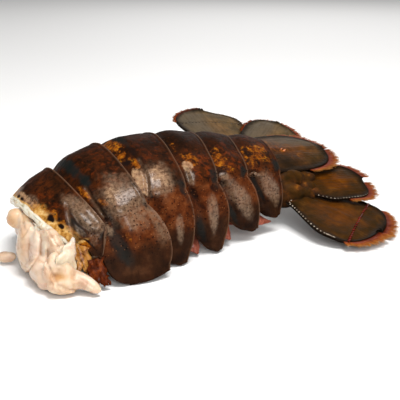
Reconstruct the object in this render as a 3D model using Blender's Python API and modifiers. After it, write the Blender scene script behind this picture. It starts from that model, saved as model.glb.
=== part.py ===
"""A raw lobster tail: six overlapping shell segments, a spread tail fan and meat at the cut end.

The tail lies on its side flaps. +X runs toward the fan, +Z is up, and -Y is the side with the
wide-spread fan blade. Sizes below are in millimetres and are turned into metres when a mesh is made.
"""
import math
from dataclasses import dataclass

import bmesh
import bpy
import numpy as np
from mathutils import Matrix, Vector

MM = 0.001

SHELL_THICKNESS = 1.2
SHELL_OVERLAP = 3.4
SHELL_DROP = 2.1
SHELL_BULGE = 0.7
ARCH_STEPS = 20
FLAP_STEPS = 5
LENGTH_STEPS = 5
TOUCH_GAP = 0.3
SHOULDER = 0.24

MEAT_INSET = 4.8
MEAT_GAP = 1.9
UNDERSIDE_FRONT = 6.5
UNDERSIDE_BACK = 16.0
UNDERSIDE_THICKNESS = 1.2
RIB_DEPTH = 1.5

FAN_HEIGHT = 17.5
NEAR_FAN_SLOPE = 0.25
FAR_FAN_SLOPE = 0.36
BLADE_THICKNESS = 1.1
FRINGE_THICKNESS = 0.45


@dataclass(frozen=True)
class Rim:
    """One arched edge of the shell: hinge place, forward lean of the arch, and its size."""

    x: float
    hinge_z: float
    lean_deg: float
    half_width: float
    rise: float

    def point(self, turn: float, inset: float = 0.0, forward: float = 0.0) -> Vector:
        """Point on the arch. turn is -1 at the near hinge, 0 at the top and +1 at the far hinge."""
        angle = turn * math.pi / 2
        side = (self.half_width - inset) * math.sin(angle) * (1.0 - SHOULDER * math.cos(angle) ** 2)
        up = (self.rise - inset) * math.cos(angle) * (1.0 - SHOULDER * math.sin(angle) ** 2)
        lean = math.radians(self.lean_deg)
        return Vector((
            self.x - forward * math.cos(lean) - math.sin(lean) * up,
            side,
            self.hinge_z + math.cos(lean) * up - forward * math.sin(lean) * math.cos(angle),
        ))


@dataclass(frozen=True)
class Flap:
    """The flap that hangs below a segment's hinge: its lower edge runs from front_x to back_x.

    Toe and heel are how much of its width is left in front of and behind the middle at the lowest edge.
    Heel_rise lifts the rear corner, and flare brings the lower part out over the segment before it.
    """

    front_x: float
    back_x: float
    tip_y: float
    tip_z: float
    back_bulge: float
    heel_rise: float
    front_power: float = 1.3
    toe: float = 0.3
    heel: float = 0.93
    flare: float = 0.0


RIMS = (
    Rim(-28.3, 13.8, 40.7, 25.5, 12.2),
    Rim(-15.6, 19.1, 27.0, 28.6, 15.0),
    Rim(0.0, 24.3, 13.5, 28.1, 15.4),
    Rim(16.5, 26.3, -4.3, 25.9, 14.6),
    Rim(30.6, 26.5, -15.1, 23.7, 13.1),
    Rim(45.0, 25.7, -19.5, 21.4, 10.9),
    Rim(62.5, 22.8, -15.0, 17.4, 10.0),
)
FLAPS = (
    Flap(-21.6, -18.8, 33.0, 10.4, -0.5, 0.0, front_power=0.35, toe=0.42, heel=0.6),
    Flap(-17.4, 4.6, 37.2, 0.0, 3.6, 2.4, toe=0.42, flare=0.9),
    Flap(5.0, 15.2, 29.6, 0.0, 2.8, 0.5),
    Flap(25.0, 31.8, 25.6, 0.3, 3.6, 0.6),
    Flap(42.0, 50.9, 20.8, 3.4, 2.1, 0.9),
    Flap(56.0, 62.9, 17.6, 5.6, 0.7, 1.3),
)


def clear_scene():
    """Remove every object that the open file holds."""
    for item in list(bpy.data.objects):
        bpy.data.objects.remove(item, do_unlink=True)


def collection(name):
    """Return a collection of this name, linked to the scene."""
    found = bpy.data.collections.new(name)
    bpy.context.scene.collection.children.link(found)
    return found


def material(name, colour, roughness, metallic=0.0):
    """Make one Principled material."""
    made = bpy.data.materials.new(name)
    made.use_nodes = True
    shader = made.node_tree.nodes["Principled BSDF"]
    shader.inputs["Base Color"].default_value = (*colour, 1.0)
    shader.inputs["Roughness"].default_value = roughness
    shader.inputs["Metallic"].default_value = metallic
    return made


def mesh_object(name, bm, home, finish, smooth=True):
    """Turn a bmesh that is in millimetres into a named object in metres."""
    bmesh.ops.scale(bm, vec=(MM, MM, MM), verts=bm.verts)
    for face in bm.faces:
        face.smooth = smooth
    mesh = bpy.data.meshes.new(name)
    bm.to_mesh(mesh)
    bm.free()
    made = bpy.data.objects.new(name, mesh)
    made.data.materials.append(finish)
    home.objects.link(made)
    return made


def grid(rows):
    """Make a bmesh sheet from equal rows of points."""
    bm = bmesh.new()
    made = [[bm.verts.new(point) for point in row] for row in rows]
    for first, second in zip(made, made[1:]):
        for index in range(len(first) - 1):
            bm.faces.new((first[index], first[index + 1], second[index + 1], second[index]))
    return bm


def thicken(item, thickness, offset=-1.0):
    """Give an open sheet its thickness. Offset -1 goes against the faces' normals."""
    solid = item.modifiers.new("thickness", "SOLIDIFY")
    solid.thickness = thickness * MM
    solid.offset = offset
    solid.use_even_offset = False
    return item


def smooth_step(low, high, value):
    """Ease from 0 at low to 1 at high."""
    ratio = min(1.0, max(0.0, (value - low) / (high - low)))
    return ratio * ratio * (3.0 - 2.0 * ratio)


def mix(first, second, ratio):
    """Blend two numbers or two points."""
    return first + (second - first) * ratio


def flap_back_x(index, depth):
    """X of a flap's rear edge at a depth of 0 (hinge) to 1 (lowest edge)."""
    flap = FLAPS[index]
    hinge = RIMS[index + 1].x
    return mix(hinge, flap.back_x, depth) + flap.back_bulge * math.sin(math.pi * depth ** 0.85)


def flap_front_x(index, depth):
    """X of a flap's front edge, which starts under the segment before it."""
    hinge = RIMS[index].x - (SHELL_OVERLAP if index else 0.0)
    return mix(hinge, FLAPS[index].front_x, depth ** FLAPS[index].front_power)


def outward(rim, turn):
    """Outward direction of the arch at a turn."""
    angle = turn * math.pi / 2
    lean = math.radians(rim.lean_deg)
    side = math.sin(angle) / rim.half_width
    up = math.cos(angle) / rim.rise
    return Vector((-math.sin(lean) * up, side, math.cos(lean) * up)).normalized()


def front_drop(index):
    """How far a segment's front edge lies inside the segment before it."""
    if index == 0:
        return 0.0
    widening = RIMS[index].half_width - RIMS[index - 1].half_width
    return SHELL_DROP + 0.32 * max(0.0, widening)


def arch_row(index, turn):
    """One row of a segment's arch, from its tucked front edge to its free rear edge."""
    front_rim = RIMS[index]
    back_rim = RIMS[index + 1]
    forward = SHELL_OVERLAP if index else 0.0
    start = front_rim.point(turn, 0.0, forward)
    end = back_rim.point(turn)
    covered = forward / (end - start).length
    row = []
    for step in range(LENGTH_STEPS + 1):
        along = (step / LENGTH_STEPS) ** 0.9
        drop = front_drop(index) * (1.0 - smooth_step(covered, covered + 0.42, along))
        bulge = SHELL_BULGE * math.sin(math.pi * along)
        direction = mix(outward(front_rim, turn), outward(back_rim, turn), along)
        row.append(mix(start, end, along) + direction.normalized() * (bulge - drop))
    return row


def flap_row(index, depth, side):
    """One row of a segment's hanging flap at a depth of 0 to 1."""
    flap = FLAPS[index]
    front_share = max((1.0 - depth ** 6.0) ** (1.0 / 3.0), flap.toe) if depth < 1.0 else flap.toe
    back_share = max((1.0 - depth ** 14.0) ** (1.0 / 3.0), flap.heel) if depth < 1.0 else flap.heel
    front = flap_front_x(index, depth)
    back = flap_back_x(index, depth)
    middle = mix(front, back, 0.5 if index < 2 else 0.62)
    front = mix(middle, front, front_share)
    back = mix(middle, back, back_share)
    front_y = mix(RIMS[index].half_width, flap.tip_y, depth)
    back_y = mix(RIMS[index + 1].half_width, flap.tip_y, depth)
    belly = 0.8 * math.sin(math.pi * depth)
    covered = 0.0
    if index:
        under = flap_back_x(index - 1, min(1.0, depth)) + 1.0
        covered = min(0.6, max(0.0, (under - front) / max(1.0, back - front)))
    row = []
    for step in range(LENGTH_STEPS + 1):
        along = (step / LENGTH_STEPS) ** 0.9
        drop = front_drop(index) * (1.0 - smooth_step(covered, covered + 0.42, along))
        drop *= 1.0 - flap.flare * smooth_step(0.55, 0.95, depth)
        bulge = SHELL_BULGE * math.sin(math.pi * along)
        hinge_z = mix(RIMS[index].hinge_z, RIMS[index + 1].hinge_z, along)
        row.append(Vector((
            mix(front, back, along),
            side * (mix(front_y, back_y, along) + belly + bulge - drop),
            mix(hinge_z, flap.tip_z + flap.heel_rise * along * along, depth),
        )))
    return row


def shell_segment(index, home, finish):
    """One shell segment: an arch with a flap hanging on each side."""
    rows = [flap_row(index, 1.0 - step / FLAP_STEPS, -1.0) for step in range(FLAP_STEPS)]
    rows += [arch_row(index, -1.0 + 2.0 * step / ARCH_STEPS) for step in range(ARCH_STEPS + 1)]
    rows += [flap_row(index, (step + 1) / FLAP_STEPS, 1.0) for step in range(FLAP_STEPS)]
    bm = grid(rows)
    bmesh.ops.recalc_face_normals(bm, faces=bm.faces)
    top = max(bm.faces, key=lambda face: face.calc_center_median().z)
    if top.normal.z < 0.0:
        bmesh.ops.reverse_faces(bm, faces=bm.faces)
    return thicken(mesh_object(f"shell_segment_{index + 1}", bm, home, finish), SHELL_THICKNESS)


def membrane_rim(home, finish):
    """The pale soft strip that shows inside the first segment's front edge."""
    rim = RIMS[0]
    rows = []
    for step in range(ARCH_STEPS + 1):
        turn = -0.8 + 1.6 * step / ARCH_STEPS
        wave = 0.5 * math.sin(9.0 * turn)
        rows.append([
            rim.point(turn, SHELL_THICKNESS + TOUCH_GAP + 0.3, -2.5),
            rim.point(turn, SHELL_THICKNESS + TOUCH_GAP + 0.3, 0.6),
            rim.point(turn, 2.2 + 0.5 * wave, 2.8 + wave),
        ])
    bm = grid(rows)
    bmesh.ops.recalc_face_normals(bm, faces=bm.faces)
    top = max(bm.faces, key=lambda face: face.calc_center_median().z)
    if top.normal.z < 0.0:
        bmesh.ops.reverse_faces(bm, faces=bm.faces)
    return thicken(mesh_object("membrane_rim", bm, home, finish), 0.6)


def ellipsoid(bm, centre, radii, turn=None, segments=16, rings=10):
    """Add a closed ellipsoid to a bmesh."""
    pose = Matrix.Translation(Vector(centre))
    if turn is not None:
        pose = pose @ turn.to_4x4()
    pose = pose @ Matrix.Diagonal((*radii, 1.0))
    bmesh.ops.create_uvsphere(bm, u_segments=segments, v_segments=rings, radius=1.0, matrix=pose)


def meat_core(bm):
    """The long body of meat inside the shells, lofted from the shell's own rims."""
    sections = []
    for index, rim in enumerate(RIMS):
        ring = []
        steps = 14
        shift = {0: 3.0, len(RIMS) - 1: -6.0}.get(index, 0.0)
        for step in range(steps + 1):
            turn = -1.0 + 2.0 * step / steps
            ring.append(rim.point(turn, MEAT_INSET, -shift))
        low = underside_height(rim.x + shift) + MEAT_GAP
        for step in range(5):
            across = 1.0 - 2.0 * step / 4.0
            y = across * (rim.half_width - MEAT_INSET - 0.6)
            ring.append(Vector((rim.x + shift, y, low)))
        sections.append(ring)
    made = [[bm.verts.new(point) for point in ring] for ring in sections]
    count = len(made[0])
    for first, second in zip(made, made[1:]):
        for index in range(count):
            after = (index + 1) % count
            bm.faces.new((first[index], first[after], second[after], second[index]))
    bm.faces.new(list(reversed(made[0])))
    bm.faces.new(made[-1])
    bmesh.ops.recalc_face_normals(bm, faces=bm.faces)


def direction_turn(direction):
    """Rotation that takes +Z to a direction."""
    return Vector(direction).normalized().to_track_quat("Z", "Y").to_matrix()


# Lobes of meat that bulge from the cut end: centre, radii, and the way the long radius points.
MEAT_LOBES = (
    ((-37.0, -1.9, 15.4), (3.5, 3.7, 3.6), (0.1, 0.2, 1.0)),
    ((-34.8, -5.0, 14.8), (4.2, 5.0, 3.8), (0.0, 0.2, 1.0)),
    ((-36.0, -9.6, 9.0), (4.6, 5.2, 8.2), (0.0, -0.08, 1.0)),
    ((-33.5, -15.0, 8.8), (4.0, 4.2, 6.6), (0.1, -0.1, 1.0)),
    ((-31.0, -17.5, 9.2), (4.5, 5.5, 5.4), (0.0, 0.0, 1.0)),
    ((-37.2, -21.0, 4.9), (4.6, 4.6, 4.6), (0.0, 0.0, 1.0)),
    ((-37.8, -25.0, 3.2), (2.8, 2.8, 2.8), (0.0, 0.0, 1.0)),
    ((-32.6, -27.6, 7.6), (4.2, 4.4, 6.2), (0.35, 0.0, 0.9)),
    ((-32.0, -33.2, 3.6), (3.2, 3.2, 6.2), (1.0, -0.25, 0.1)),
    ((-27.4, -34.6, 4.4), (2.7, 2.9, 7.4), (0.55, -0.75, -0.33)),
    ((-29.5, -21.5, 9.0), (4.0, 4.5, 5.0), (0.0, 0.0, 1.0)),
    ((-27.4, -22.4, 6.0), (4.0, 3.2, 5.0), (0.0, 0.0, 1.0)),
    ((-27.5, -4.0, 14.0), (6.5, 16.0, 6.0), (0.0, 0.0, 1.0)),
    ((-29.0, 9.0, 10.5), (5.5, 8.0, 8.0), (0.0, 0.0, 1.0)),
)


def meat(home, finish):
    """The meat: one soft solid with rounded lobes at the cut end."""
    bm = bmesh.new()
    meat_core(bm)
    for centre, radii, direction in MEAT_LOBES:
        ellipsoid(bm, centre, radii, direction_turn(direction))
    made = mesh_object("meat", bm, home, finish)
    fuse = made.modifiers.new("fuse", "REMESH")
    fuse.mode = "VOXEL"
    fuse.voxel_size = 1.3 * MM
    soften = made.modifiers.new("soften", "SMOOTH")
    soften.factor = 0.5
    soften.iterations = 3
    thin = made.modifiers.new("thin", "DECIMATE")
    thin.ratio = 0.105
    return made


@dataclass(frozen=True)
class TornSheet:
    """A thin wavy piece with a ragged lower edge, hung from a corner along two directions."""

    name: str
    corner: tuple
    across: tuple
    down: tuple
    wave: float
    rag: float


TORN_SHEETS = (
    TornSheet("torn_skin", (-27.3, -26.1, 11.4), (4.4, -1.0, -0.2), (0.2, -3.0, -6.6), 0.5, 0.16),
    TornSheet("front_leaf", (-22.6, -29.9, 6.7), (4.2, -2.0, 0.2), (1.0, -2.4, -5.6), 0.4, 0.2),
)


def torn_sheet(sheet, home, finish):
    """Make one torn sheet as a thin closed solid."""
    corner = Vector(sheet.corner)
    across = Vector(sheet.across)
    down = Vector(sheet.down)
    normal = across.cross(down).normalized()
    rows = []
    for step in range(7):
        depth = step / 6
        row = []
        for cross in range(7):
            side = cross / 6
            ragged = depth * (1.0 + sheet.rag * math.sin(14.0 * side + 1.0))
            swell = sheet.wave * math.sin(5.0 * side + 4.0 * depth)
            row.append(corner + across * mix(side, 0.5, 0.3 * depth) + down * ragged + normal * swell)
        rows.append(row)
    bm = grid(rows)
    bmesh.ops.recalc_face_normals(bm, faces=bm.faces)
    return thicken(mesh_object(sheet.name, bm, home, finish), 1.0)


def meat_scrap(home, finish):
    """The small loose end of meat beside the long lobe."""
    bm = bmesh.new()
    ellipsoid(bm, (-40.6, 2.4, 2.5), (1.6, 1.6, 3.3), direction_turn((-0.85, 0.5, -0.05)), 12, 8)
    return mesh_object("meat_scrap", bm, home, finish)


def underside_height(x):
    """Height of the skin below the meat at a place along the tail."""
    along = (x - RIMS[0].x) / (RIMS[-1].x - RIMS[0].x)
    return mix(UNDERSIDE_FRONT, UNDERSIDE_BACK, smooth_step(-0.1, 0.85, along))


def underside(home, finish):
    """The ribbed skin that closes the tail from below, between the flaps."""
    rows = []
    steps = 26
    front = RIMS[0].x + 7.6
    back = RIMS[-1].x - 4.0
    for step in range(steps + 1):
        x = mix(front, back, step / steps)
        widths = np.interp(x, [rim.x for rim in RIMS], [rim.half_width for rim in RIMS])
        half = float(widths) - 5.6
        nearest = min(abs(x - rim.x) for rim in RIMS[1:])
        rib = RIB_DEPTH * math.exp(-(nearest / 2.4) ** 2)
        row = []
        for across in (-1.0, -0.7, -0.35, 0.0, 0.35, 0.7, 1.0):
            sag = 0.9 * across * across
            row.append(Vector((x, across * half, underside_height(x) - rib * (1.0 - across ** 4) - sag)))
        rows.append(row)
    bm = grid(rows)
    bmesh.ops.recalc_face_normals(bm, faces=bm.faces)
    if max(bm.faces, key=lambda face: abs(face.normal.z)).normal.z < 0.0:
        bmesh.ops.reverse_faces(bm, faces=bm.faces)
    return thicken(mesh_object("underside", bm, home, finish), UNDERSIDE_THICKNESS)


def swimmeret(number, x, half_width, side, home, finish):
    """One swimmeret: a short stalk with two thin leaves that point outward, the later ones more to the rear."""
    word = "left" if side < 0 else "right"
    name = f"swimmeret_{number}_{word}"
    size = half_width / 28.5
    rearward = 0.2 + 0.2 * max(0, number - 3)
    root = Vector((x, side * 0.5 * half_width, underside_height(x) - 4.6))
    bm = bmesh.new()
    ellipsoid(bm, root, (2.4, 2.2, 1.7), None, 8, 5)
    stalk = mesh_object(name, bm, home, finish)
    leaves = (
        (Vector((3.0, side * 4.2, -1.2)), (4.2, 0.7, 7.2), Vector((rearward, side * (1.1 - 0.6 * rearward), -0.3))),
        (Vector((4.0, side * 0.5, -1.6)), (3.6, 0.7, 7.0), Vector((0.95, side * 0.05, -0.2))),
    )
    for index, (shift, radii, direction) in enumerate(leaves):
        leaf_bm = bmesh.new()
        radii = [size * radius for radius in radii]
        ellipsoid(leaf_bm, root + shift * size, radii, direction_turn(direction), 8, 5)
        leaf = mesh_object(f"{name}_leaf_{index}", leaf_bm, CUTTERS, finish)
        leaf.hide_render = True
        leaf.display_type = "WIRE"
        join = stalk.modifiers.new(f"leaf_{index}", "BOOLEAN")
        join.operation = "UNION"
        join.object = leaf
        join.solver = "EXACT"
    return stalk


@dataclass(frozen=True)
class Blade:
    """One blade of the tail fan, laid out in the fan's own plane."""

    name: str
    base: tuple
    heading_deg: float
    length: float
    width: float
    lift: float
    camber: float
    lean: float = 0.0
    root: float = 0.6
    broadest: float = 0.55
    round_from: float = 0.6
    joint: float = 0.0
    tilt: float = 0.0
    joint_skew: float = 0.0


def fan_point(x, y, lift):
    """Place a point of the fan's plane: the plane is rolled so that the near side is low."""
    slope = mix(NEAR_FAN_SLOPE, FAR_FAN_SLOPE, smooth_step(-8.0, 16.0, y))
    return Vector((x, y, FAN_HEIGHT + slope * y + lift))


def blade_half_width(blade, ratio):
    """Half of a blade's width along its length: a narrow root and a broad round end."""
    root = mix(blade.root, 1.0, smooth_step(-0.1, blade.broadest, ratio))
    turn = max(0.0, ratio - blade.round_from) / (1.0 - blade.round_from)
    return 0.5 * blade.width * root * max(math.sqrt(max(0.0, 1.0 - turn ** 2.4)), 0.2)


def blade_rows(blade, start, finish, along_steps=8, across_steps=6):
    """Rows of points over a stretch of a blade, from root to end."""
    heading = math.radians(blade.heading_deg)
    forward = Vector((math.cos(heading), math.sin(heading), 0.0))
    left = Vector((-math.sin(heading), math.cos(heading), 0.0))
    rows = []
    for step in range(along_steps + 1):
        row = []
        for cross in range(across_steps + 1):
            across = -1.0 + 2.0 * cross / across_steps
            low = start + (blade.joint_skew * across if start > 0.0 else 0.0)
            high = finish + (blade.joint_skew * across if finish < 1.0 else 0.0)
            ratio = mix(low, high, (step / along_steps) ** 0.8)
            half = blade_half_width(blade, ratio)
            flat = Vector(blade.base).to_3d() + forward * blade.length * ratio
            flat += left * half * across
            rise = blade.camber * (1.0 - across * across) * (1.0 - 0.6 * ratio)
            slope = blade.lean * (1.0 - ratio) + blade.tilt * across
            row.append(fan_point(flat.x, flat.y, blade.lift + rise + slope))
        rows.append(row)
    return rows


def blade_solid(name, blade, start, finish, home, colour):
    """Make one stretch of a blade as a thin cambered solid."""
    bm = grid(blade_rows(blade, start, finish))
    bmesh.ops.recalc_face_normals(bm, faces=bm.faces)
    if sum(face.normal.z for face in bm.faces) < 0.0:
        bmesh.ops.reverse_faces(bm, faces=bm.faces)
    return thicken(mesh_object(name, bm, home, colour), BLADE_THICKNESS)


def fan_blade(blade, home, colour):
    """Make a blade, in two pieces where it has a joint across it."""
    if not blade.joint:
        return blade_solid(blade.name, blade, 0.0, 1.0, home, colour)
    gap = TOUCH_GAP / blade.length
    blade_solid(blade.name, blade, 0.0, blade.joint, home, colour)
    return blade_solid(f"{blade.name}_tip", blade, blade.joint + gap, 1.0, home, colour)


def fringe(blade, reach, start, home, colour):
    """The thin ragged border of hair around a blade's end, cut as a jagged strip."""
    heading = math.radians(blade.heading_deg)
    forward = Vector((math.cos(heading), math.sin(heading), 0.0))
    left = Vector((-math.sin(heading), math.cos(heading), 0.0))
    base = Vector(blade.base).to_3d()
    centre = base + forward * blade.length * 0.55
    teeth = 26
    blunt = 0.25
    rows = []
    for step in range(teeth + 1):
        travel = -1.0 + 2.0 * step / teeth
        side = math.copysign(1.0, travel) if travel else 1.0
        if abs(travel) < blunt:
            ratio = 1.0
            half = blade_half_width(blade, 1.0) * abs(travel) / blunt
        else:
            ratio = 1.0 - (1.0 - start) * ((abs(travel) - blunt) / (1.0 - blunt)) ** 1.5
            half = blade_half_width(blade, ratio)
        edge = base + forward * blade.length * ratio + left * half * side
        ray = (edge - centre).normalized()
        tooth = reach * (0.72 if step % 2 else 1.0) * (1.0 - 0.55 * travel * travel)
        inner = edge + ray * TOUCH_GAP * 3.6
        outer = edge + ray * tooth
        across = side * min(1.0, abs(travel) / blunt)
        rise = blade.lift + blade.tilt * across - 0.35 * BLADE_THICKNESS
        rows.append([fan_point(inner.x, inner.y, rise), fan_point(outer.x, outer.y, rise - 0.3)])
    bm = grid(rows)
    bmesh.ops.recalc_face_normals(bm, faces=bm.faces)
    if sum(face.normal.z for face in bm.faces) < 0.0:
        bmesh.ops.reverse_faces(bm, faces=bm.faces)
    return thicken(mesh_object(f"{blade.name}_fringe", bm, home, colour), FRINGE_THICKNESS)


TELSON = Blade(
    "telson", (66.0, 2.1), 7.8, 35.6, 26.5, 2.6, 3.1, lean=3.5, root=0.9, broadest=0.24, round_from=0.37,
)
NEAR_ENDOPOD = Blade(
    "endopod_left", (78.3, -11.2), -6.4, 28.0, 22.2, -0.4, 1.0,
    root=0.37, broadest=0.37, round_from=0.74, tilt=0.9,
)
FAR_ENDOPOD = Blade("endopod_right", (72.0, 13.0), 40.0, 34.0, 24.0, -1.8, 1.4)
NEAR_EXOPOD = Blade(
    "exopod_left", (73.9, -12.6), -63.0, 36.4, 37.0, -3.5, 1.2,
    root=0.41, broadest=0.6, round_from=0.66, joint=0.74, tilt=-0.9, joint_skew=-0.1,
)
FAR_EXOPOD = Blade(
    "exopod_right", (66.0, 18.0), 84.0, 38.0, 33.0, -4.4, 1.2,
    root=0.36, broadest=0.85, round_from=0.66, joint=0.72, tilt=1.2,
)
# Each blade with its hair's reach, and how far along the blade the hair starts.
FRINGES = (
    (TELSON, 4.2, 0.6),
    (NEAR_ENDOPOD, 3.8, 0.6),
    (FAR_ENDOPOD, 3.6, 0.5),
    (NEAR_EXOPOD, 4.6, 0.86),
    (FAR_EXOPOD, 2.8, 0.76),
)


def protopod(side, home, finish):
    """The stub that carries a pair of fan blades, beside the last segment."""
    word = "left" if side < 0 else "right"
    bm = bmesh.new()
    centre = fan_point(65.0, side * 10.6, -2.6)
    turn = direction_turn((0.8, side * 0.5, side * 0.1))
    ellipsoid(bm, centre, (2.8, 4.6, 5.0), turn, 12, 8)
    return mesh_object(f"protopod_{word}", bm, home, finish)


def origin_to_foot(objects):
    """Shift everything so that the origin is below the middle of the whole, at its lowest level."""
    bpy.context.view_layer.update()
    graph = bpy.context.evaluated_depsgraph_get()
    low = np.full(3, np.inf)
    high = np.full(3, -np.inf)
    for item in objects:
        evaluated = item.evaluated_get(graph)
        mesh = evaluated.to_mesh()
        places = np.array([tuple(item.matrix_world @ vertex.co) for vertex in mesh.vertices])
        low = np.minimum(low, places.min(axis=0))
        high = np.maximum(high, places.max(axis=0))
        evaluated.to_mesh_clear()
    shift = Vector((-(low[0] + high[0]) / 2, -(low[1] + high[1]) / 2, -low[2]))
    for item in objects + list(CUTTERS.objects):
        item.data.transform(Matrix.Translation(shift))
    return shift


clear_scene()
TAIL = collection("lobster_tail")
CUTTERS = collection("cutters")


def main():
    """Build every piece of the tail."""
    shell = material("shell", (0.060, 0.024, 0.012), 0.32)
    meat_finish = material("meat", (0.80, 0.60, 0.42), 0.38)
    skin = material("membrane", (0.78, 0.62, 0.44), 0.45)
    limb = material("swimmeret", (0.30, 0.075, 0.025), 0.50)
    blade_finish = material("fan_blade", (0.120, 0.065, 0.028), 0.36)
    hair = material("fringe", (0.36, 0.11, 0.04), 0.62)

    for index in range(6):
        shell_segment(index, TAIL, shell)
    membrane_rim(TAIL, skin)
    meat(TAIL, meat_finish)
    meat_scrap(TAIL, meat_finish)
    torn_sheet(TORN_SHEETS[0], TAIL, skin)
    torn_sheet(TORN_SHEETS[1], TAIL, limb)
    underside(TAIL, skin)
    for number, rim in enumerate(RIMS[1:5], start=2):
        for side in (-1.0, 1.0):
            swimmeret(number, rim.x + 2.0, rim.half_width, side, TAIL, limb)
    for blade, reach, start in FRINGES:
        fan_blade(blade, TAIL, blade_finish)
        fringe(blade, reach, start, TAIL, hair)
    for side in (-1.0, 1.0):
        protopod(side, TAIL, shell)
    shift = origin_to_foot(list(TAIL.objects))
    print("shift in mm", [round(value / MM, 2) for value in shift])
    return shift


SHIFT = main()
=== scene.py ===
"""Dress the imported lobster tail: shell rings, meat, fan blades, hair, limbs, light and camera.

Sizes are in millimetres in the tail's own layout, where +X runs toward the fan and -Y is the near side.
They are shifted and turned into metres when a mesh is made.
"""
import logging
import math
from dataclasses import dataclass
from enum import Enum
from typing import Callable, Optional, Sequence

import bpy
import numpy as np
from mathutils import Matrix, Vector, noise


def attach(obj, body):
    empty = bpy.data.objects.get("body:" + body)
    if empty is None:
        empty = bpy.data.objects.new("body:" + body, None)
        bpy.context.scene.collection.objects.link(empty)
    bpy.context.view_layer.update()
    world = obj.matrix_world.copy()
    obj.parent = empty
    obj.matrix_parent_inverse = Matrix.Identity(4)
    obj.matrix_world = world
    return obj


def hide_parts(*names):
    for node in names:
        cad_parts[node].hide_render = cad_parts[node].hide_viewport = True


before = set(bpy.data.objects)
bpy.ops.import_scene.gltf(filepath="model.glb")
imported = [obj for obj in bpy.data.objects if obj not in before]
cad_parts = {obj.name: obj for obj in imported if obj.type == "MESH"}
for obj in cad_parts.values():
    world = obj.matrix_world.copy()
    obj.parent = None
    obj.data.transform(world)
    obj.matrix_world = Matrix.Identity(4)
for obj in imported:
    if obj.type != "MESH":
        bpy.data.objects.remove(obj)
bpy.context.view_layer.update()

LOG = logging.getLogger("lobster_tail")

MM = 0.001
LAYOUT_SHIFT = np.array((-33.25, -3.56, 0.23))

IMAGE_PX = 400.0
SENSOR_MM = 36.0
BALL_STEPS = 24

SHELL_THICKNESS = 1.1
SHELL_OVERLAP = 3.4
SHELL_DROP = 2.1
SHELL_BULGE = 0.7
SHOULDER = 0.24
FAN_HEIGHT = 17.5
NEAR_FAN_SLOPE = 0.25
FAR_FAN_SLOPE = 0.36
BLADE_THICKNESS = 1.0
JOINT_GAP = 0.3

Array = np.ndarray
Piece = bpy.types.Object
Material = bpy.types.Material
Socket = bpy.types.NodeSocket
Surface = Callable[[Array, Array], Array]


# Numbers and points


def ease(low: float, high: float, value: Array) -> Array:
    """Ease from 0 at low to 1 at high."""
    ratio = np.clip((np.asarray(value, float) - low) / (high - low), 0.0, 1.0)
    return ratio * ratio * (3.0 - 2.0 * ratio)


def mix(first: Array, second: Array, ratio: Array) -> Array:
    """Blend two numbers or two arrays of numbers."""
    return first + (second - first) * ratio


def blend(first: Array, second: Array, ratio: Array) -> Array:
    """Blend two arrays of points by one number for each point."""
    return first + (second - first) * np.asarray(ratio)[..., None]


def ridge(distance: Array, width: float) -> Array:
    """A smooth bump of height 1 at distance 0."""
    return np.exp(-((np.asarray(distance) / width) ** 2))


def unit(vectors: Array) -> Array:
    """Scale vectors to length 1."""
    length = np.linalg.norm(vectors, axis=-1, keepdims=True)
    return vectors / np.maximum(length, 1e-9)


def wobble(points: Array, size: float, seed: float = 0.0, octaves: int = 1) -> Array:
    """Smooth noise between about -1 and 1 at each point.

    Args:
        points: Points in millimetres, one in each row.
        size: Width of the noise's swells in millimetres.
        seed: Shift that gives another noise.
        octaves: How many finer layers are added.

    Returns:
        One value for each point.
    """
    total = np.zeros(len(points))
    weight = 1.0
    for octave in range(octaves):
        scale = 2.0 ** octave / size
        shift = Vector((seed * 7.13, seed * 3.71 + octave * 5.3, seed * 1.97))
        total += weight * np.array([noise.noise(Vector(point) * scale + shift) for point in points])
        weight *= 0.5
    return total


def to_scene(points: Array) -> Array:
    """Turn layout millimetres into the frame's metres."""
    return (np.asarray(points, float) + LAYOUT_SHIFT) * MM


def above_floor(points: Array) -> Array:
    """Flatten what would reach below the floor, in layout millimetres.

    Args:
        points: Layout points.

    Returns:
        The points, none of them below the floor.
    """
    points = np.array(points, float)
    points[:, 2] = np.maximum(points[:, 2], 0.05 - LAYOUT_SHIFT[2])
    return points


def linear(code: str) -> tuple[float, float, float, float]:
    """Turn a written web colour such as 3a2018 into the numbers that a shader takes.

    Args:
        code: Six hexadecimal digits.

    Returns:
        Red, green, blue and alpha.
    """
    parts = [int(code[index:index + 2], 16) / 255.0 for index in (0, 2, 4)]
    parts = [part / 12.92 if part <= 0.04045 else ((part + 0.055) / 1.055) ** 2.4 for part in parts]
    return (*parts, 1.0)


# Mesh making


def deselect() -> None:
    """Leave object mode clean, with nothing selected."""
    if bpy.context.object and bpy.context.object.mode != "OBJECT":
        bpy.ops.object.mode_set(mode="OBJECT")
    bpy.ops.object.select_all(action="DESELECT")


def choose(item: Piece) -> None:
    """Make an object the only selected one, and the active one.

    Args:
        item: The object.
    """
    deselect()
    item.select_set(True)
    bpy.context.view_layer.objects.active = item


def points_of(item: Piece) -> Array:
    """Read a mesh's points.

    Args:
        item: The mesh object.

    Returns:
        Points in metres, one in each row.
    """
    flat = np.empty(len(item.data.vertices) * 3)
    item.data.vertices.foreach_get("co", flat)
    return flat.reshape(-1, 3)


def move_points(item: Piece, points: Array) -> None:
    """Write a mesh's points."""
    item.data.vertices.foreach_set("co", np.asarray(points, np.float32).ravel())
    item.data.update()


def apply_modifier(item: Piece, kind: str, **settings: object) -> None:
    """Add a modifier with its settings and apply it at once.

    Args:
        item: The mesh object.
        kind: The modifier's type.
        settings: Its settings by name.
    """
    choose(item)
    made = item.modifiers.new(kind.lower(), kind)
    for name, value in settings.items():
        setattr(made, name, value)
    bpy.ops.object.modifier_apply(modifier=made.name)


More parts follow.
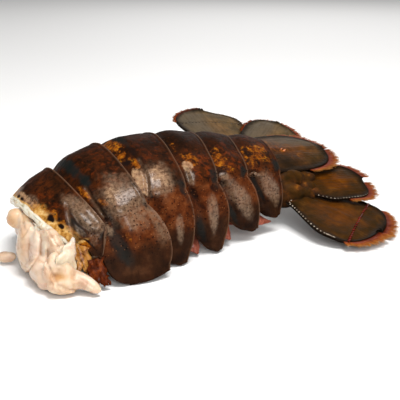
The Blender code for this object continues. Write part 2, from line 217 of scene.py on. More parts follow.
def smooth(item: Piece) -> None:
    """Shade every face smooth."""
    choose(item)
    bpy.ops.object.shade_smooth()


def settle(item: Piece) -> None:
    """Put an object's place, turn and size into its mesh."""
    choose(item)
    bpy.ops.object.transform_apply(location=True, rotation=True, scale=True)


def dress(item: Piece, finish: Material, node: str = "") -> Piece:
    """Give a piece its finish, attach it to the root body, and let it stand for a CAD node where one is
    named.

    Args:
        item: The finished piece.
        finish: The piece's material.
        node: The CAD node that the piece replaces.

    Returns:
        The same piece.
    """
    item.data.materials.clear()
    item.data.materials.append(finish)
    if node:
        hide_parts(node)
    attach(item, "root")
    return item


def paint(item: Piece, name: str, channels: Sequence[Array]) -> None:
    """Store three or four values for each point as a colour attribute.

    Args:
        item: The mesh object.
        name: The attribute's name, as its material reads it.
        channels: Arrays of values between 0 and 1, in the order red, green, blue and alpha.
    """
    count = len(item.data.vertices)
    values = np.ones((count, 4), np.float32)
    for index, channel in enumerate(channels):
        values[:, index] = np.clip(channel, 0.0, 1.0)
    attribute = item.data.color_attributes.new(name=name, type="FLOAT_COLOR", domain="POINT")
    attribute.data.foreach_set("color", values.ravel())


def hollows(item: Piece, rounds: int) -> Array:
    """Share between 0 and 1 of how deep each vertex lies in a crease of its mesh.

    Args:
        item: The mesh object.
        rounds: How often the comparison surface is smoothed.

    Returns:
        One share for each point.
    """
    points = points_of(item) / MM
    edges = np.empty(len(item.data.edges) * 2, int)
    item.data.edges.foreach_get("vertices", edges)
    edges = edges.reshape(-1, 2)
    normals = np.empty(len(points) * 3)
    item.data.vertices.foreach_get("normal", normals)
    normals = normals.reshape(-1, 3)
    degree = np.bincount(edges.ravel(), minlength=len(points)).astype(float)
    soft = points.copy()
    for _ in range(rounds):
        total = np.zeros_like(soft)
        for axis in range(3):
            total[:, axis] += np.bincount(edges[:, 0], soft[edges[:, 1], axis], len(points))
            total[:, axis] += np.bincount(edges[:, 1], soft[edges[:, 0], axis], len(points))
        soft = total / np.maximum(degree, 1.0)[:, None]
    depth = ((soft - points) * normals).sum(axis=1)
    return ease(0.04, 0.55, depth)


@dataclass
class Sheet:
    """A grid that is laid over a surface given by two numbers between 0 and 1."""

    name: str
    surface: Surface
    counts: tuple[int, int]
    relief: Optional[Callable[[Array, Array, Array], Array]] = None
    thickness: float = 0.0

    def normals(self, first: Array, second: Array) -> Array:
        """Outward directions of the surface, from small steps along it.

        Args:
            first: First numbers.
            second: Second numbers.

        Returns:
            One unit vector for each place.
        """
        step = 1.5e-3
        along = self.surface(np.minimum(first + step, 1.0), second)
        along = along - self.surface(np.maximum(first - step, 0.0), second)
        across = self.surface(first, np.minimum(second + step, 1.0))
        across = across - self.surface(first, np.maximum(second - step, 0.0))
        return unit(np.cross(along, across))

    def build(self, colours: Optional[Callable[[Array, Array, Array], dict]] = None) -> Piece:
        """Make the sheet.

        Args:
            colours: Gives named attributes from the two numbers and the points.

        Returns:
            The finished object, thickened where the sheet has a thickness.
        """
        deselect()
        bpy.ops.mesh.primitive_grid_add(x_subdivisions=self.counts[0], y_subdivisions=self.counts[1])
        made = bpy.context.active_object
        made.name = self.name
        made.data.name = self.name
        flat = points_of(made)
        first = np.clip((flat[:, 0] + 1.0) / 2.0, 0.0, 1.0)
        second = np.clip((flat[:, 1] + 1.0) / 2.0, 0.0, 1.0)
        points = self.surface(first, second)
        if self.relief is not None:
            points = points + self.normals(first, second) * self.relief(first, second, points)[:, None]
        if colours is not None:
            for name, channels in colours(first, second, points).items():
                paint(made, name, channels)
        move_points(made, to_scene(above_floor(points)))
        if self.thickness:
            apply_modifier(made, "SOLIDIFY", thickness=self.thickness * MM, offset=-1.0)
        smooth(made)
        return made


def ellipsoid(centre: Sequence[float], radii: Sequence[float], direction: Sequence[float]) -> Piece:
    """Add one ellipsoid whose third radius lies along a direction.

    Args:
        centre: The middle in layout millimetres.
        radii: The three radii in millimetres.
        direction: The way that the third radius points.

    Returns:
        The finished object.
    """
    deselect()
    turn = Vector(direction).normalized().to_track_quat("Z", "Y").to_euler()
    place = to_scene(np.array(centre))
    bpy.ops.mesh.primitive_uv_sphere_add(
        segments=BALL_STEPS, ring_count=BALL_STEPS // 2, radius=1.0, location=place, rotation=turn,
    )
    made = bpy.context.active_object
    made.scale = [radius * MM for radius in radii]
    settle(made)
    return made


def join(items: Sequence[Piece], name: str) -> Piece:
    """Join objects into one.

    Args:
        items: The objects, of which the first one stays.
        name: The name that the result gets.

    Returns:
        The finished object.
    """
    deselect()
    for item in items:
        item.select_set(True)
    bpy.context.view_layer.objects.active = items[0]
    bpy.ops.object.join()
    made = bpy.context.active_object
    made.name = name
    made.data.name = name
    return made


def mesh_from(name: str, points: Array, faces: Sequence[Sequence[int]]) -> Piece:
    """Make an object from points in layout millimetres and faces.

    Args:
        name: The name that the result gets.
        points: Layout points.
        faces: The numbers of each face's points.

    Returns:
        The finished object.
    """
    mesh = bpy.data.meshes.new(name)
    mesh.from_pydata(to_scene(points).tolist(), [], [list(face) for face in faces])
    mesh.update()
    made = bpy.data.objects.new(name, mesh)
    bpy.context.scene.collection.objects.link(made)
    return made


# Shader making


class Wires:
    """Short ways to add and join the nodes of one tree."""

    def __init__(self, tree: bpy.types.NodeTree) -> None:
        """Keep the tree."""
        self.tree = tree

    def node(self, kind: str, **settings: object) -> bpy.types.Node:
        """Add a node and set its own settings.

        Args:
            kind: The node's type.
            settings: Its settings by name.

        Returns:
            The node.
        """
        made = self.tree.nodes.new(kind)
        for name, value in settings.items():
            setattr(made, name, value)
        return made

    def fill(self, node: bpy.types.Node, values: dict) -> None:
        """Feed a node's inputs.

        Args:
            node: The node.
            values: A socket, number, colour or vector for each input, by its name or number.
        """
        for key, value in values.items():
            if isinstance(value, Socket):
                self.tree.links.new(value, node.inputs[key])
            else:
                node.inputs[key].default_value = value

    def add(self, kind: str, output: object, values: dict, **settings: object) -> Socket:
        """Add a node and feed its inputs.

        Args:
            kind: The node's type.
            output: Name or number of the output.
            values: What feeds each input, by its name or number.
            settings: The node's own settings by name.

        Returns:
            The output.
        """
        made = self.node(kind, **settings)
        self.fill(made, values)
        return made.outputs[output]

    def place(self) -> Socket:
        """Object coordinates in millimetres."""
        coordinates = self.node("ShaderNodeTexCoord").outputs["Object"]
        return self.stretch(coordinates, (1.0 / MM, 1.0 / MM, 1.0 / MM))

    def stretch(self, vector: Socket, scale: tuple) -> Socket:
        """Multiply a vector by one number for each direction."""
        return self.add("ShaderNodeVectorMath", 0, {0: vector, 1: scale}, operation="MULTIPLY")

    def clouds(
        self, vector: Socket, scale: object, detail: float, rough: float = 0.55, twist: float = 0.0,
    ) -> Socket:
        """Noise between 0 and 1, with detail as its finer layers and rough as their strength."""
        values = {"Vector": vector, "Scale": scale, "Detail": detail, "Roughness": rough, "Distortion": twist}
        return self.add("ShaderNodeTexNoise", "Fac", values)

    def span(self, value: object, low: object, high: object, start: float = 0.0, end: float = 1.0) -> Socket:
        """Map the values from low to high smoothly onto those from start to end."""
        values = {"Value": value, "From Min": low, "From Max": high, "To Min": start, "To Max": end}
        return self.add("ShaderNodeMapRange", "Result", values, interpolation_type="SMOOTHSTEP")

    def reckon(self, operation: str, first: object, second: object) -> Socket:
        """Join two values by an operation such as SUBTRACT or MAXIMUM."""
        return self.add("ShaderNodeMath", 0, {0: first, 1: second}, operation=operation)

    def times(self, first: object, second: object) -> Socket:
        """Multiply two values."""
        return self.reckon("MULTIPLY", first, second)

    def plus(self, first: object, second: object) -> Socket:
        """Add two values."""
        return self.reckon("ADD", first, second)

    def tint(self, factor: object, first: object, second: object) -> Socket:
        """Mix two colours, where a factor of 0 gives the first one."""
        return self.add("ShaderNodeMix", 2, {0: factor, 6: first, 7: second}, data_type="RGBA")

    def wash(self, body: object, mask: object, share: float, colour: object) -> Socket:
        """Lay a colour, given as a socket or a web colour, over another one where a mask says so."""
        over = linear(colour) if isinstance(colour, str) else colour
        return self.tint(self.times(mask, share), body, over)

    def ramp(self, value: Socket, stops: Sequence[tuple[float, str]]) -> Socket:
        """Colour a value.

        Args:
            value: A value between 0 and 1.
            stops: Place and web colour of each stop.

        Returns:
            The colour.
        """
        made = self.node("ShaderNodeValToRGB")
        elements = made.color_ramp.elements
        while len(elements) < len(stops):
            elements.new(0.5)
        for element, (spot, code) in zip(elements, stops):
            element.position = spot
            element.color = linear(code)
        self.fill(made, {"Fac": value})
        return made.outputs["Color"]

    def channels(self, colour: Socket) -> tuple[Socket, ...]:
        """Split a colour.

        Args:
            colour: The colour.

        Returns:
            Its three channels.
        """
        split = self.node("ShaderNodeSeparateColor")
        self.fill(split, {0: colour})
        return tuple(split.outputs[:3])

    def attribute(self, name: str) -> tuple[Socket, ...]:
        """The three channels of a named attribute."""
        return self.channels(self.add("ShaderNodeAttribute", "Color", {}, attribute_name=name))

    def group(self, tree: bpy.types.NodeTree, **values: object) -> Socket:
        """Add a node group with values for its named inputs, and give its output."""
        return self.add("ShaderNodeGroup", 0, values, node_tree=tree)

    def bump(self, height: Socket, strength: float, reach: float, below: Optional[Socket] = None) -> Socket:
        """Turn a height, scaled by reach in millimetres, into a normal that may lie over another one."""
        values = {"Strength": strength, "Distance": reach * MM, "Height": height}
        return self.add("ShaderNodeBump", "Normal", values if below is None else {**values, "Normal": below})


def new_group(name: str, inputs: dict[str, float], output: str) -> tuple:
    """Start a shader node group that turns a place and some numbers into one value.

    Args:
        name: The group's name.
        inputs: Name and first value of each input beside the place, which is called Vector.
        output: The output's name.

    Returns:
        The tree, its wires, its inputs as sockets by name, and its output node.
    """
    tree = bpy.data.node_groups.new(name, "ShaderNodeTree")
    tree.interface.new_socket(name="Vector", in_out="INPUT", socket_type="NodeSocketVector")
    for label, value in inputs.items():
        socket = tree.interface.new_socket(name=label, in_out="INPUT", socket_type="NodeSocketFloat")
        socket.default_value = value
    tree.interface.new_socket(name=output, in_out="OUTPUT", socket_type="NodeSocketFloat")
    wires = Wires(tree)
    return tree, wires, wires.node("NodeGroupInput").outputs, wires.node("NodeGroupOutput")


class Effects:
    """The shader node groups that several finishes use."""

    def __init__(self) -> None:
        """Build each group once."""
        self.mottle = self.make_mottle()
        self.pits = self.make_pits()
        self.grain = self.make_grain()

    @staticmethod
    def make_mottle() -> bpy.types.NodeTree:
        """Blotches with ragged edges: a mask between 0 and 1.

        Returns:
            The node group.
        """
        tree, wires, given, result = new_group("mottle", {"Scale": 0.2, "Low": 0.45, "High": 0.6}, "Mask")
        cloud = wires.clouds(given["Vector"], given["Scale"], 6.0, 0.66, 0.5)
        wires.fill(result, {"Mask": wires.span(cloud, given["Low"], given["High"])})
        return tree

    @staticmethod
    def make_pits() -> bpy.types.NodeTree:
        """Small scattered round pits: a mask that is 1 at their middles.

        Returns:
            The node group.
        """
        tree, wires, given, result = new_group("pits", {"Scale": 1.0, "Size": 0.2, "Share": 0.5}, "Mask")
        cells = wires.node("ShaderNodeTexVoronoi")
        wires.fill(cells, {"Vector": given["Vector"], "Scale": given["Scale"]})
        near = wires.reckon("DIVIDE", cells.outputs["Distance"], given["Size"])
        kept = wires.reckon("LESS_THAN", wires.channels(cells.outputs["Color"])[0], given["Share"])
        wires.fill(result, {"Mask": wires.times(wires.span(near, 1.0, 0.45), kept)})
        return tree

    @staticmethod
    def make_grain() -> bpy.types.NodeTree:
        """Two sizes of fine unevenness as one height.

        Returns:
            The node group.
        """
        tree, wires, given, result = new_group("grain", {"Coarse": 0.4, "Fine": 2.0}, "Height")
        coarse = wires.clouds(given["Vector"], given["Coarse"], 4.0, 0.5)
        fine = wires.clouds(given["Vector"], given["Fine"], 4.0, 0.5)
        wires.fill(result, {"Height": wires.plus(wires.times(coarse, 0.7), wires.times(fine, 0.3))})
        return tree


def new_material(name: str) -> tuple[Material, Wires, bpy.types.Node]:
    """Start a material and give its wires and its Principled shader.

    Args:
        name: The material's name.

    Returns:
        The material, its wires and its shader.
    """
    made = bpy.data.materials.new(name)
    made.use_nodes = True
    return made, Wires(made.node_tree), made.node_tree.nodes["Principled BSDF"]


@dataclass(frozen=True)
class ShellFinish:
    """Wet dark shell, mottled brown and rust, with amber, cream and blue-black areas, a greyish haze with
    painted sheen, and a pale painted highlight along each rear rim.
    """

    dark: str = "180c05"
    brown: str = "2f1709"
    rust: str = "64290b"
    cream: str = "a88663"
    slate: str = "151b1a"
    # Greyish haze colour, also laid on as the painted sheen of the top light on the flanks and flaps.
    haze_and_sheen: str = "8f735a"
    # Pale rim colour: a painted edge highlight along each rear rim.
    edge: str = "80614b"

    @staticmethod
    def frayed(wires: Wires, mask: object, ragged: object, rag: float, low: float, high: float) -> Socket:
        """Give a soft mask a ragged edge, and nothing where the mask is 0.

        Args:
            wires: The material's wires.
            mask: The soft mask.
            ragged: Noise between 0 and 1.
            rag: How strongly the noise moves the edge.
            low: Value of the uneven mask that gives 0.
            high: Value of the uneven mask that gives 1.

        Returns:
            The ragged mask.
        """
        uneven = wires.plus(mask, wires.times(wires.reckon("SUBTRACT", ragged, 0.5), rag))
        return wires.times(wires.span(uneven, low, high), wires.span(mask, 0.03, 0.3))

    def build(self, effects: Effects) -> Material:
        """Make the material. The piece's attributes are patches, zones, skin, and marks: the haze with its
        painted sheen, the painted rim highlight and the pits.

        Args:
            effects: The shared groups.

        Returns:
            The material.
        """
        made, wires, shader = new_material("shell_finish")
        place = wires.place()
        amber, cream, slate = wires.attribute("patches")
        haze_and_sheen, edge, pitted = wires.attribute("sheen_and_marks")
        lower, rusty, black = wires.attribute("zones")
        coarse = wires.clouds(place, 0.16, 8.0, 0.68, 0.4)
        fine = wires.clouds(place, 0.9, 6.0, 0.7)
        cloud = wires.plus(wires.times(coarse, 0.72), wires.times(fine, 0.28))
        body = wires.ramp(cloud, [(0.38, self.dark), (0.47, self.brown), (0.55, "3d1c0a"), (0.66, "55280d")])
        rust_mask = wires.group(effects.mottle, Vector=place, Scale=0.42, Low=0.47, High=0.66)
        body = wires.wash(body, wires.times(rust_mask, rusty), 0.75, self.rust)
        spots = wires.group(effects.mottle, Vector=place, Scale=0.5, Low=0.52, High=0.6)
        body = wires.wash(body, spots, 0.72, "140b07")
        fade = wires.ramp(
            wires.clouds(place, 0.13, 6.0, 0.6), [(0.36, "190f0a"), (0.52, "2d1a0f"), (0.66, "472c1b")],
        )
        body = wires.wash(body, lower, 0.85, fade)
        margin, top, hinge = wires.attribute("skin")
        warm = wires.ramp(
            wires.clouds(place, 0.3, 6.0, 0.64), [(0.36, "331609"), (0.5, "542710"), (0.64, "6f3c1e")],
        )
        body = wires.wash(body, hinge, 0.75, warm)
        body = wires.wash(body, top, 0.8, "120803")
        ragged = wires.plus(wires.times(coarse, 0.4), wires.times(fine, 0.6))
        amber = self.frayed(wires, amber, ragged, 4.4, 0.5, 1.05)
        cream = self.frayed(wires, cream, ragged, 2.2, 0.3, 1.0)
        amber_colour = wires.ramp(
            wires.clouds(place, 0.6, 6.0, 0.66),
            [(0.32, "341605"), (0.44, "643009"), (0.55, "884a0c"), (0.68, "ab7119")],
        )
        body = wires.wash(body, amber, 0.92, amber_colour)
        cream_colour = wires.ramp(
            wires.clouds(place, 0.45, 6.0, 0.62),
            [(0.33, "6b4a34"), (0.46, "8e6b50"), (0.6, self.cream), (0.72, "b99a7c")],
        )
        body = wires.wash(body, cream, 0.9, cream_colour)
        body = wires.tint(black, body, linear("140d0b"))
        body = wires.wash(body, slate, 0.85, self.slate)
        speckles = wires.group(effects.pits, Vector=place, Scale=0.7, Size=0.46, Share=0.6)
        speckled = wires.reckon("MAXIMUM", wires.times(amber, 0.9), wires.times(cream, 0.35))
        body = wires.tint(wires.times(speckles, speckled), body, linear("23140d"))
        whitish = wires.ramp(
            wires.clouds(place, 0.4, 5.0), [(0.35, "a9a184"), (0.5, "d3cdbb"), (0.65, "e2dccb")],
        )
        yellow = wires.ramp(
            wires.clouds(place, 0.55, 6.0, 0.62), [(0.36, "7a4c1c"), (0.5, "b98943"), (0.64, "d6b074")],
        )
        body = wires.wash(body, wires.span(margin, 0.05, 0.4), 0.85, yellow)
        body = wires.wash(body, wires.span(margin, 0.5, 0.9), 0.92, whitish)
        # Painted sheen: the haze colour is washed over the body where the soft top light would shine on the
        # flanks and flaps; the same mask makes the coat glossy.
        painted_sheen_and_gloss = wires.times(haze_and_sheen, wires.span(fine, 0.38, 0.6, 0.35, 1.0))
        body = wires.wash(body, painted_sheen_and_gloss, 0.5, self.haze_and_sheen)
        bumps = wires.group(effects.pits, Vector=place, Scale=1.05, Size=0.24, Share=0.35)
        bumps = wires.times(bumps, hinge)
        body = wires.wash(body, bumps, 0.6, "a86a3c")
        # Painted edge highlight: a pale line along each rear rim.
        body = wires.wash(body, edge, 0.42, self.edge)
        pits = wires.group(effects.pits, Vector=place, Scale=0.85, Size=0.3, Share=0.7)
        pits = wires.times(pits, pitted)
        body = wires.wash(body, pits, 0.8, "120b0a")
        wires.fill(shader, {"Base Color": body})
        rough = wires.reckon("SUBTRACT", wires.span(fine, 0.3, 0.7, 0.36, 0.56), wires.times(haze_and_sheen, 0.1))
        wires.fill(shader, {"Roughness": rough})
        grain = wires.group(effects.grain, Vector=place, Coarse=0.55, Fine=2.4)
        calm = wires.reckon("SUBTRACT", 1.0, wires.times(margin, 0.8))
        normal = wires.bump(wires.times(grain, calm), 0.55, 0.35)
        height = wires.reckon("SUBTRACT", bumps, pits)
        wires.fill(shader, {"Normal": wires.bump(height, 0.9, 0.22, normal), "Specular IOR Level": 0.015})
        wet = wires.times(painted_sheen_and_gloss, wires.reckon("SUBTRACT", 1.0, pits))
        wires.fill(shader, {"Coat Weight": wires.times(wet, 0.45), "Coat Roughness": 0.18})
        return made


@dataclass(frozen=True)
class MeatFinish:
    """Raw translucent meat, cream to peach, with a wet surface."""

    def build(self, effects: Effects) -> Material:
        """Make the material. The piece's attributes are tones, and the painted shade of the creases with the
        darker rear end.

        Args:
            effects: The shared groups.

        Returns:
            The material.
        """
        made, wires, shader = new_material("meat_finish")
        place = wires.place()
        amber, pink, pale = wires.attribute("tones")
        cloud = wires.clouds(place, 0.22, 4.0, 0.5, 0.6)
        body = wires.ramp(cloud, [(0.34, "bd9b80"), (0.5, "cdb59a"), (0.66, "d8c8b3")])
        body = wires.wash(body, amber, 0.85, "c08a45")
        body = wires.wash(body, pink, 0.7, "c9a591")
        body = wires.wash(body, pale, 0.7, "cdbab0")
        fold_shade, rear, _ = wires.attribute("fold_shade")
        # Painted shade: darker brown deep in the creases and on the lower side of each crease.
        body = wires.wash(body, fold_shade, 0.8, "a0704a")
        body = wires.tint(rear, body, linear("33200f"))
        wires.fill(shader, {"Base Color": body})
        fibres = wires.clouds(wires.stretch(place, (1.0, 1.0, 0.25)), 1.1, 3.0, 0.6, 1.2)
        grain = wires.group(effects.grain, Vector=place, Coarse=0.35, Fine=1.6)
        normal = wires.bump(fibres, 0.35, 0.3)
        wires.fill(shader, {
            "Normal": wires.bump(grain, 0.4, 0.5, normal),
            "Roughness": wires.span(cloud, 0.3, 0.7, 0.24, 0.42),
            "Subsurface Weight": 0.45,
            "Subsurface Radius": (1.0, 0.55, 0.35),
            "Subsurface Scale": 3.0 * MM,
            "Specular IOR Level": 0.3,
            "Coat Weight": 0.2,
            "Coat Roughness": 0.12,
        })
        return made


@dataclass(frozen=True)
class MembraneFinish:
    """Thin whitish skin that lets light through."""

    name: str = "membrane_finish"
    pale: str = "d6cfbb"
    deep: str = "c9ae8c"
    clear: float = 0.25
    wet: float = 0.5

    def build(self, effects: Effects) -> Material:
        """Make the material.

        Args:
            effects: The shared groups.

        Returns:
            The material.
        """
        made, wires, shader = new_material(self.name)
        place = wires.place()
        cloud = wires.clouds(place, 0.35, 5.0, 0.6, 0.8)
        body = wires.ramp(cloud, [(0.35, self.deep), (0.52, self.pale), (0.7, self.pale)])
        wires.fill(shader, {"Base Color": body, "Roughness": wires.span(cloud, 0.3, 0.7, 0.2, 0.4)})
        grain = wires.group(effects.grain, Vector=place, Coarse=0.6, Fine=2.0)
        wires.fill(shader, {
            "Normal": wires.bump(grain, 0.6, 0.4),
            "Subsurface Weight": self.clear,
            "Subsurface Radius": (1.0, 0.8, 0.6),
            "Subsurface Scale": 1.5 * MM,
            "Specular IOR Level": self.wet,
            "Coat Weight": self.wet,
            "Coat Roughness": 0.15,
        })
        return made


@dataclass(frozen=True)
class BladeFinish:
    """Fan blade: olive-brown and amber inside, with a dark border."""

    name: str = "blade_finish"
    middle: str = "35200a"
    olive: str = "271b0a"
    border: str = "130e0a"

    def build(self, effects: Effects) -> Material:
        """Make the material. The piece's attributes are blade and stain.

        Args:
            effects: The shared groups.

        Returns:
            The material.
        """
        made, wires, shader = new_material(self.name)
        place = wires.place()
        edge, streak, tone = wires.attribute("blade")
        rust, warm, grey = wires.attribute("stain")
        cloud = wires.clouds(place, 0.2, 6.0, 0.62, 0.4)
        body = wires.ramp(cloud, [(0.36, self.olive), (0.52, self.middle), (0.68, "462c10")])
        amber = wires.ramp(cloud, [(0.36, "472504"), (0.55, "5a2e04"), (0.7, "6c3c07")])
        body = wires.wash(body, warm, 0.85, amber)
        far = wires.ramp(cloud, [(0.36, "4a3b24"), (0.52, "5f4d33"), (0.68, "6e593d")])
        body = wires.wash(body, tone, 0.9, far)
        body = wires.wash(body, grey, 0.7, "50473b")
        body = wires.wash(body, streak, 0.3, "2c2118")
        rusty = wires.ramp(
            wires.clouds(place, 0.45, 6.0, 0.66),
            [(0.36, "2c1a13"), (0.5, "4a2a17"), (0.6, "6b3a16"), (0.68, "95591c")],
        )
        body = wires.tint(rust, body, rusty)
        body = wires.wash(body, edge, 0.9, self.border)
        wires.fill(shader, {"Base Color": body, "Roughness": wires.span(cloud, 0.3, 0.7, 0.3, 0.48)})
        grain = wires.group(effects.grain, Vector=place, Coarse=0.8, Fine=3.0)
        wires.fill(shader, {"Normal": wires.bump(grain, 0.6, 0.3), "Specular IOR Level": 0.01})
        return made


@dataclass(frozen=True)
class HairFinish:
    """Hair that turns from red-brown at its root to orange at its tip."""

    name: str = "hair_finish"
    root: str = "561405"
    tip: str = "cf9850"

    def build(self) -> Material:
        """Make the material. The piece's attribute is hair.

        Returns:
            The material.
        """
        made, wires, shader = new_material(self.name)
        along, shade, _ = wires.attribute("hair")
        wires.fill(shader, {"Specular IOR Level": 0.1})
        body = wires.ramp(along, [(0.0, self.root), (0.4, "82300e"), (0.75, "ab5d1a"), (1.0, self.tip)])
        wires.fill(shader, {
            "Base Color": wires.tint(wires.times(shade, 0.5), body, linear("5a2416")),
            "Roughness": wires.span(along, 0.0, 1.0, 0.4, 0.6),
        })
        return made


@dataclass(frozen=True)
class LimbFinish:
    """Rust-red skin of the swimmerets and the torn front leaf."""

    name: str = "limb_finish"
    dark: str = "5c2010"
    light: str = "9c5a48"
    middle: str = "7c4232"
    wet: float = 0.08

    def build(self, effects: Effects) -> Material:
        """Make the material.

        Args:
            effects: The shared groups.

        Returns:
            The material.
        """
        made, wires, shader = new_material(self.name)
        place = wires.place()
        cloud = wires.clouds(place, 0.4, 5.0, 0.65, 0.6)
        body = wires.ramp(cloud, [(0.32, self.dark), (0.5, self.middle), (0.68, self.light)])
        wires.fill(shader, {"Base Color": body, "Roughness": wires.span(cloud, 0.3, 0.7, 0.3, 0.5)})
        grain = wires.group(effects.grain, Vector=place, Coarse=0.7, Fine=2.5)
        wires.fill(shader, {
            "Normal": wires.bump(grain, 0.6, 0.4),
            "Specular IOR Level": self.wet,
            "Coat Weight": self.wet,
        })
        return made


# Shell


@dataclass(frozen=True)
class Rim:
    """One arched edge of the shell: hinge place, forward lean of the arch, and its size."""

    x: float
    hinge_z: float
    lean_deg: float
    half_width: float
    rise: float

    def point(self, turn: Array, inset: Array = 0.0, forward: Array = 0.0) -> Array:
        """Points on the arch. Turn is -1 at the near hinge, 0 at the top and 1 at the far hinge.

        Args:
            turn: Places around the ring.
            inset: How far inside the rim, in millimetres.
            forward: How far in front of the rim, in millimetres.

        Returns:
            Their points.
        """
        angle = np.asarray(turn, float) * math.pi / 2
        side = (self.half_width - inset) * np.sin(angle) * (1.0 - SHOULDER * np.cos(angle) ** 2)
        up = (self.rise - inset) * np.cos(angle) * (1.0 - SHOULDER * np.sin(angle) ** 2)
        lean = math.radians(self.lean_deg)
        return np.stack((
            self.x - forward * math.cos(lean) - math.sin(lean) * up,
            side,
            self.hinge_z + math.cos(lean) * up - forward * math.sin(lean) * np.cos(angle),
        ), axis=-1)

    def outward(self, turn: Array) -> Array:
        """Outward directions of the arch.

        Args:
            turn: Places around the ring.

        Returns:
            One unit vector for each place.
        """
        angle = np.asarray(turn, float) * math.pi / 2
        lean = math.radians(self.lean_deg)
        side = np.sin(angle) / self.half_width
        up = np.cos(angle) / self.rise
        return unit(np.stack((-math.sin(lean) * up, side, math.cos(lean) * up), axis=-1))


@dataclass(frozen=True)
class Flap:
    """The flap below a ring's hinge: its lower edge runs from front_x to back_x.

    Toe and heel are how much of its width is left in front of and behind the middle at the lowest edge.
    Heel_rise lifts the rear corner, and flare brings the lower part out over the ring before it.
    """

    front_x: float
    back_x: float
    tip_y: float
    tip_z: float
    back_bulge: float
    heel_rise: float
    front_power: float = 1.3
    toe: float = 0.3
    heel: float = 0.93
    flare: float = 0.0


RIMS = (
    Rim(-28.3, 13.8, 40.7, 25.5, 12.2),
    Rim(-15.6, 19.1, 27.0, 28.6, 15.0),
    Rim(0.0, 24.3, 13.5, 28.1, 15.4),
    Rim(16.5, 26.3, -4.3, 25.9, 14.6),
    Rim(30.6, 26.5, -15.1, 23.7, 13.1),
    Rim(45.0, 25.7, -19.5, 21.4, 10.9),
    Rim(62.5, 22.8, -15.0, 17.4, 10.0),
)
FLAPS = (
    Flap(-21.6, -18.8, 33.0, 10.4, -0.5, 0.0, front_power=0.35, toe=0.42, heel=0.6),
    Flap(-17.4, 4.6, 37.2, 0.0, 3.6, 2.4, toe=0.42, flare=0.9),
    Flap(5.0, 15.2, 29.6, 0.0, 2.8, 0.5),
    Flap(25.0, 31.8, 25.6, 0.3, 3.6, 0.6),
    Flap(42.0, 50.9, 20.8, 3.4, 2.1, 0.9),
    Flap(56.0, 62.9, 17.6, 5.6, 0.7, 1.3),
)


class Tone(Enum):
    """Colours that patches and grooves put on a ring. The value is the attribute's name and channel."""

    AMBER = ("patches", 0)
    CREAM = ("patches", 1)
    SLATE = ("patches", 2)
    # The haze tone also carries a painted sheen where the top light would shine.
    HAZE = ("sheen_and_marks", 0)
    RUST = ("zones", 1)
    BLACK = ("zones", 2)


@dataclass(frozen=True)
class Patch:
    """A ragged area at an along and a turn of its ring, with half sizes in the same units."""

    along: float
    turn: float
    length: float
    width: float
    strength: float = 1.0
    slant: float = 0.0
    rag: float = 0.45

    def mask(self, along: Array, turn: Array, coarse: Array, fine: Array) -> Array:
        """Share of the tone at each place, where coarse and fine are noises.

        Args:
            along: Places along the ring.
            turn: Places around the ring.
            coarse: The coarse noise at each place.
            fine: The fine noise at each place.

        Returns:
            One share for each place.
        """
        across = (turn - self.turn) / self.width
        forward = (along - self.along - self.slant * (turn - self.turn)) / self.length
        reach = np.sqrt(across ** 2 + forward ** 2) + self.rag * coarse + 0.6 * self.rag * fine
        return self.strength * ease(1.35, 0.55, reach)


@dataclass(frozen=True)
class Groove:
    """A line pressed into a ring along places of along and turn, with a tone beside it."""

    path: tuple
    depth: float
    width: float
    # The line's default tone is the haze with its painted sheen.
    tone: Tone = Tone.HAZE
    strength: float = 0.8
    dark: float = 0.6

    def distance(self, ring: "ShellRing", points: Array) -> Array:
        """Distance in millimetres of each point from the line, on the near side or its mirror.

        Args:
            ring: The ring that the groove is on.
            points: Layout points.

        Returns:
            One distance for each point.
        """
        spots = np.array(self.path)
        stations = np.linspace(0.0, len(spots) - 1.0, 12 * len(spots))
        along = np.interp(stations, np.arange(len(spots)), spots[:, 0])
        turn = np.interp(stations, np.arange(len(spots)), spots[:, 1])
        line = ring.place(along, turn)
        near = points.copy()
        near[:, 1] = -np.abs(near[:, 1])
        return np.linalg.norm(near[:, None, :] - line[None, :, :], axis=-1).min(axis=1)
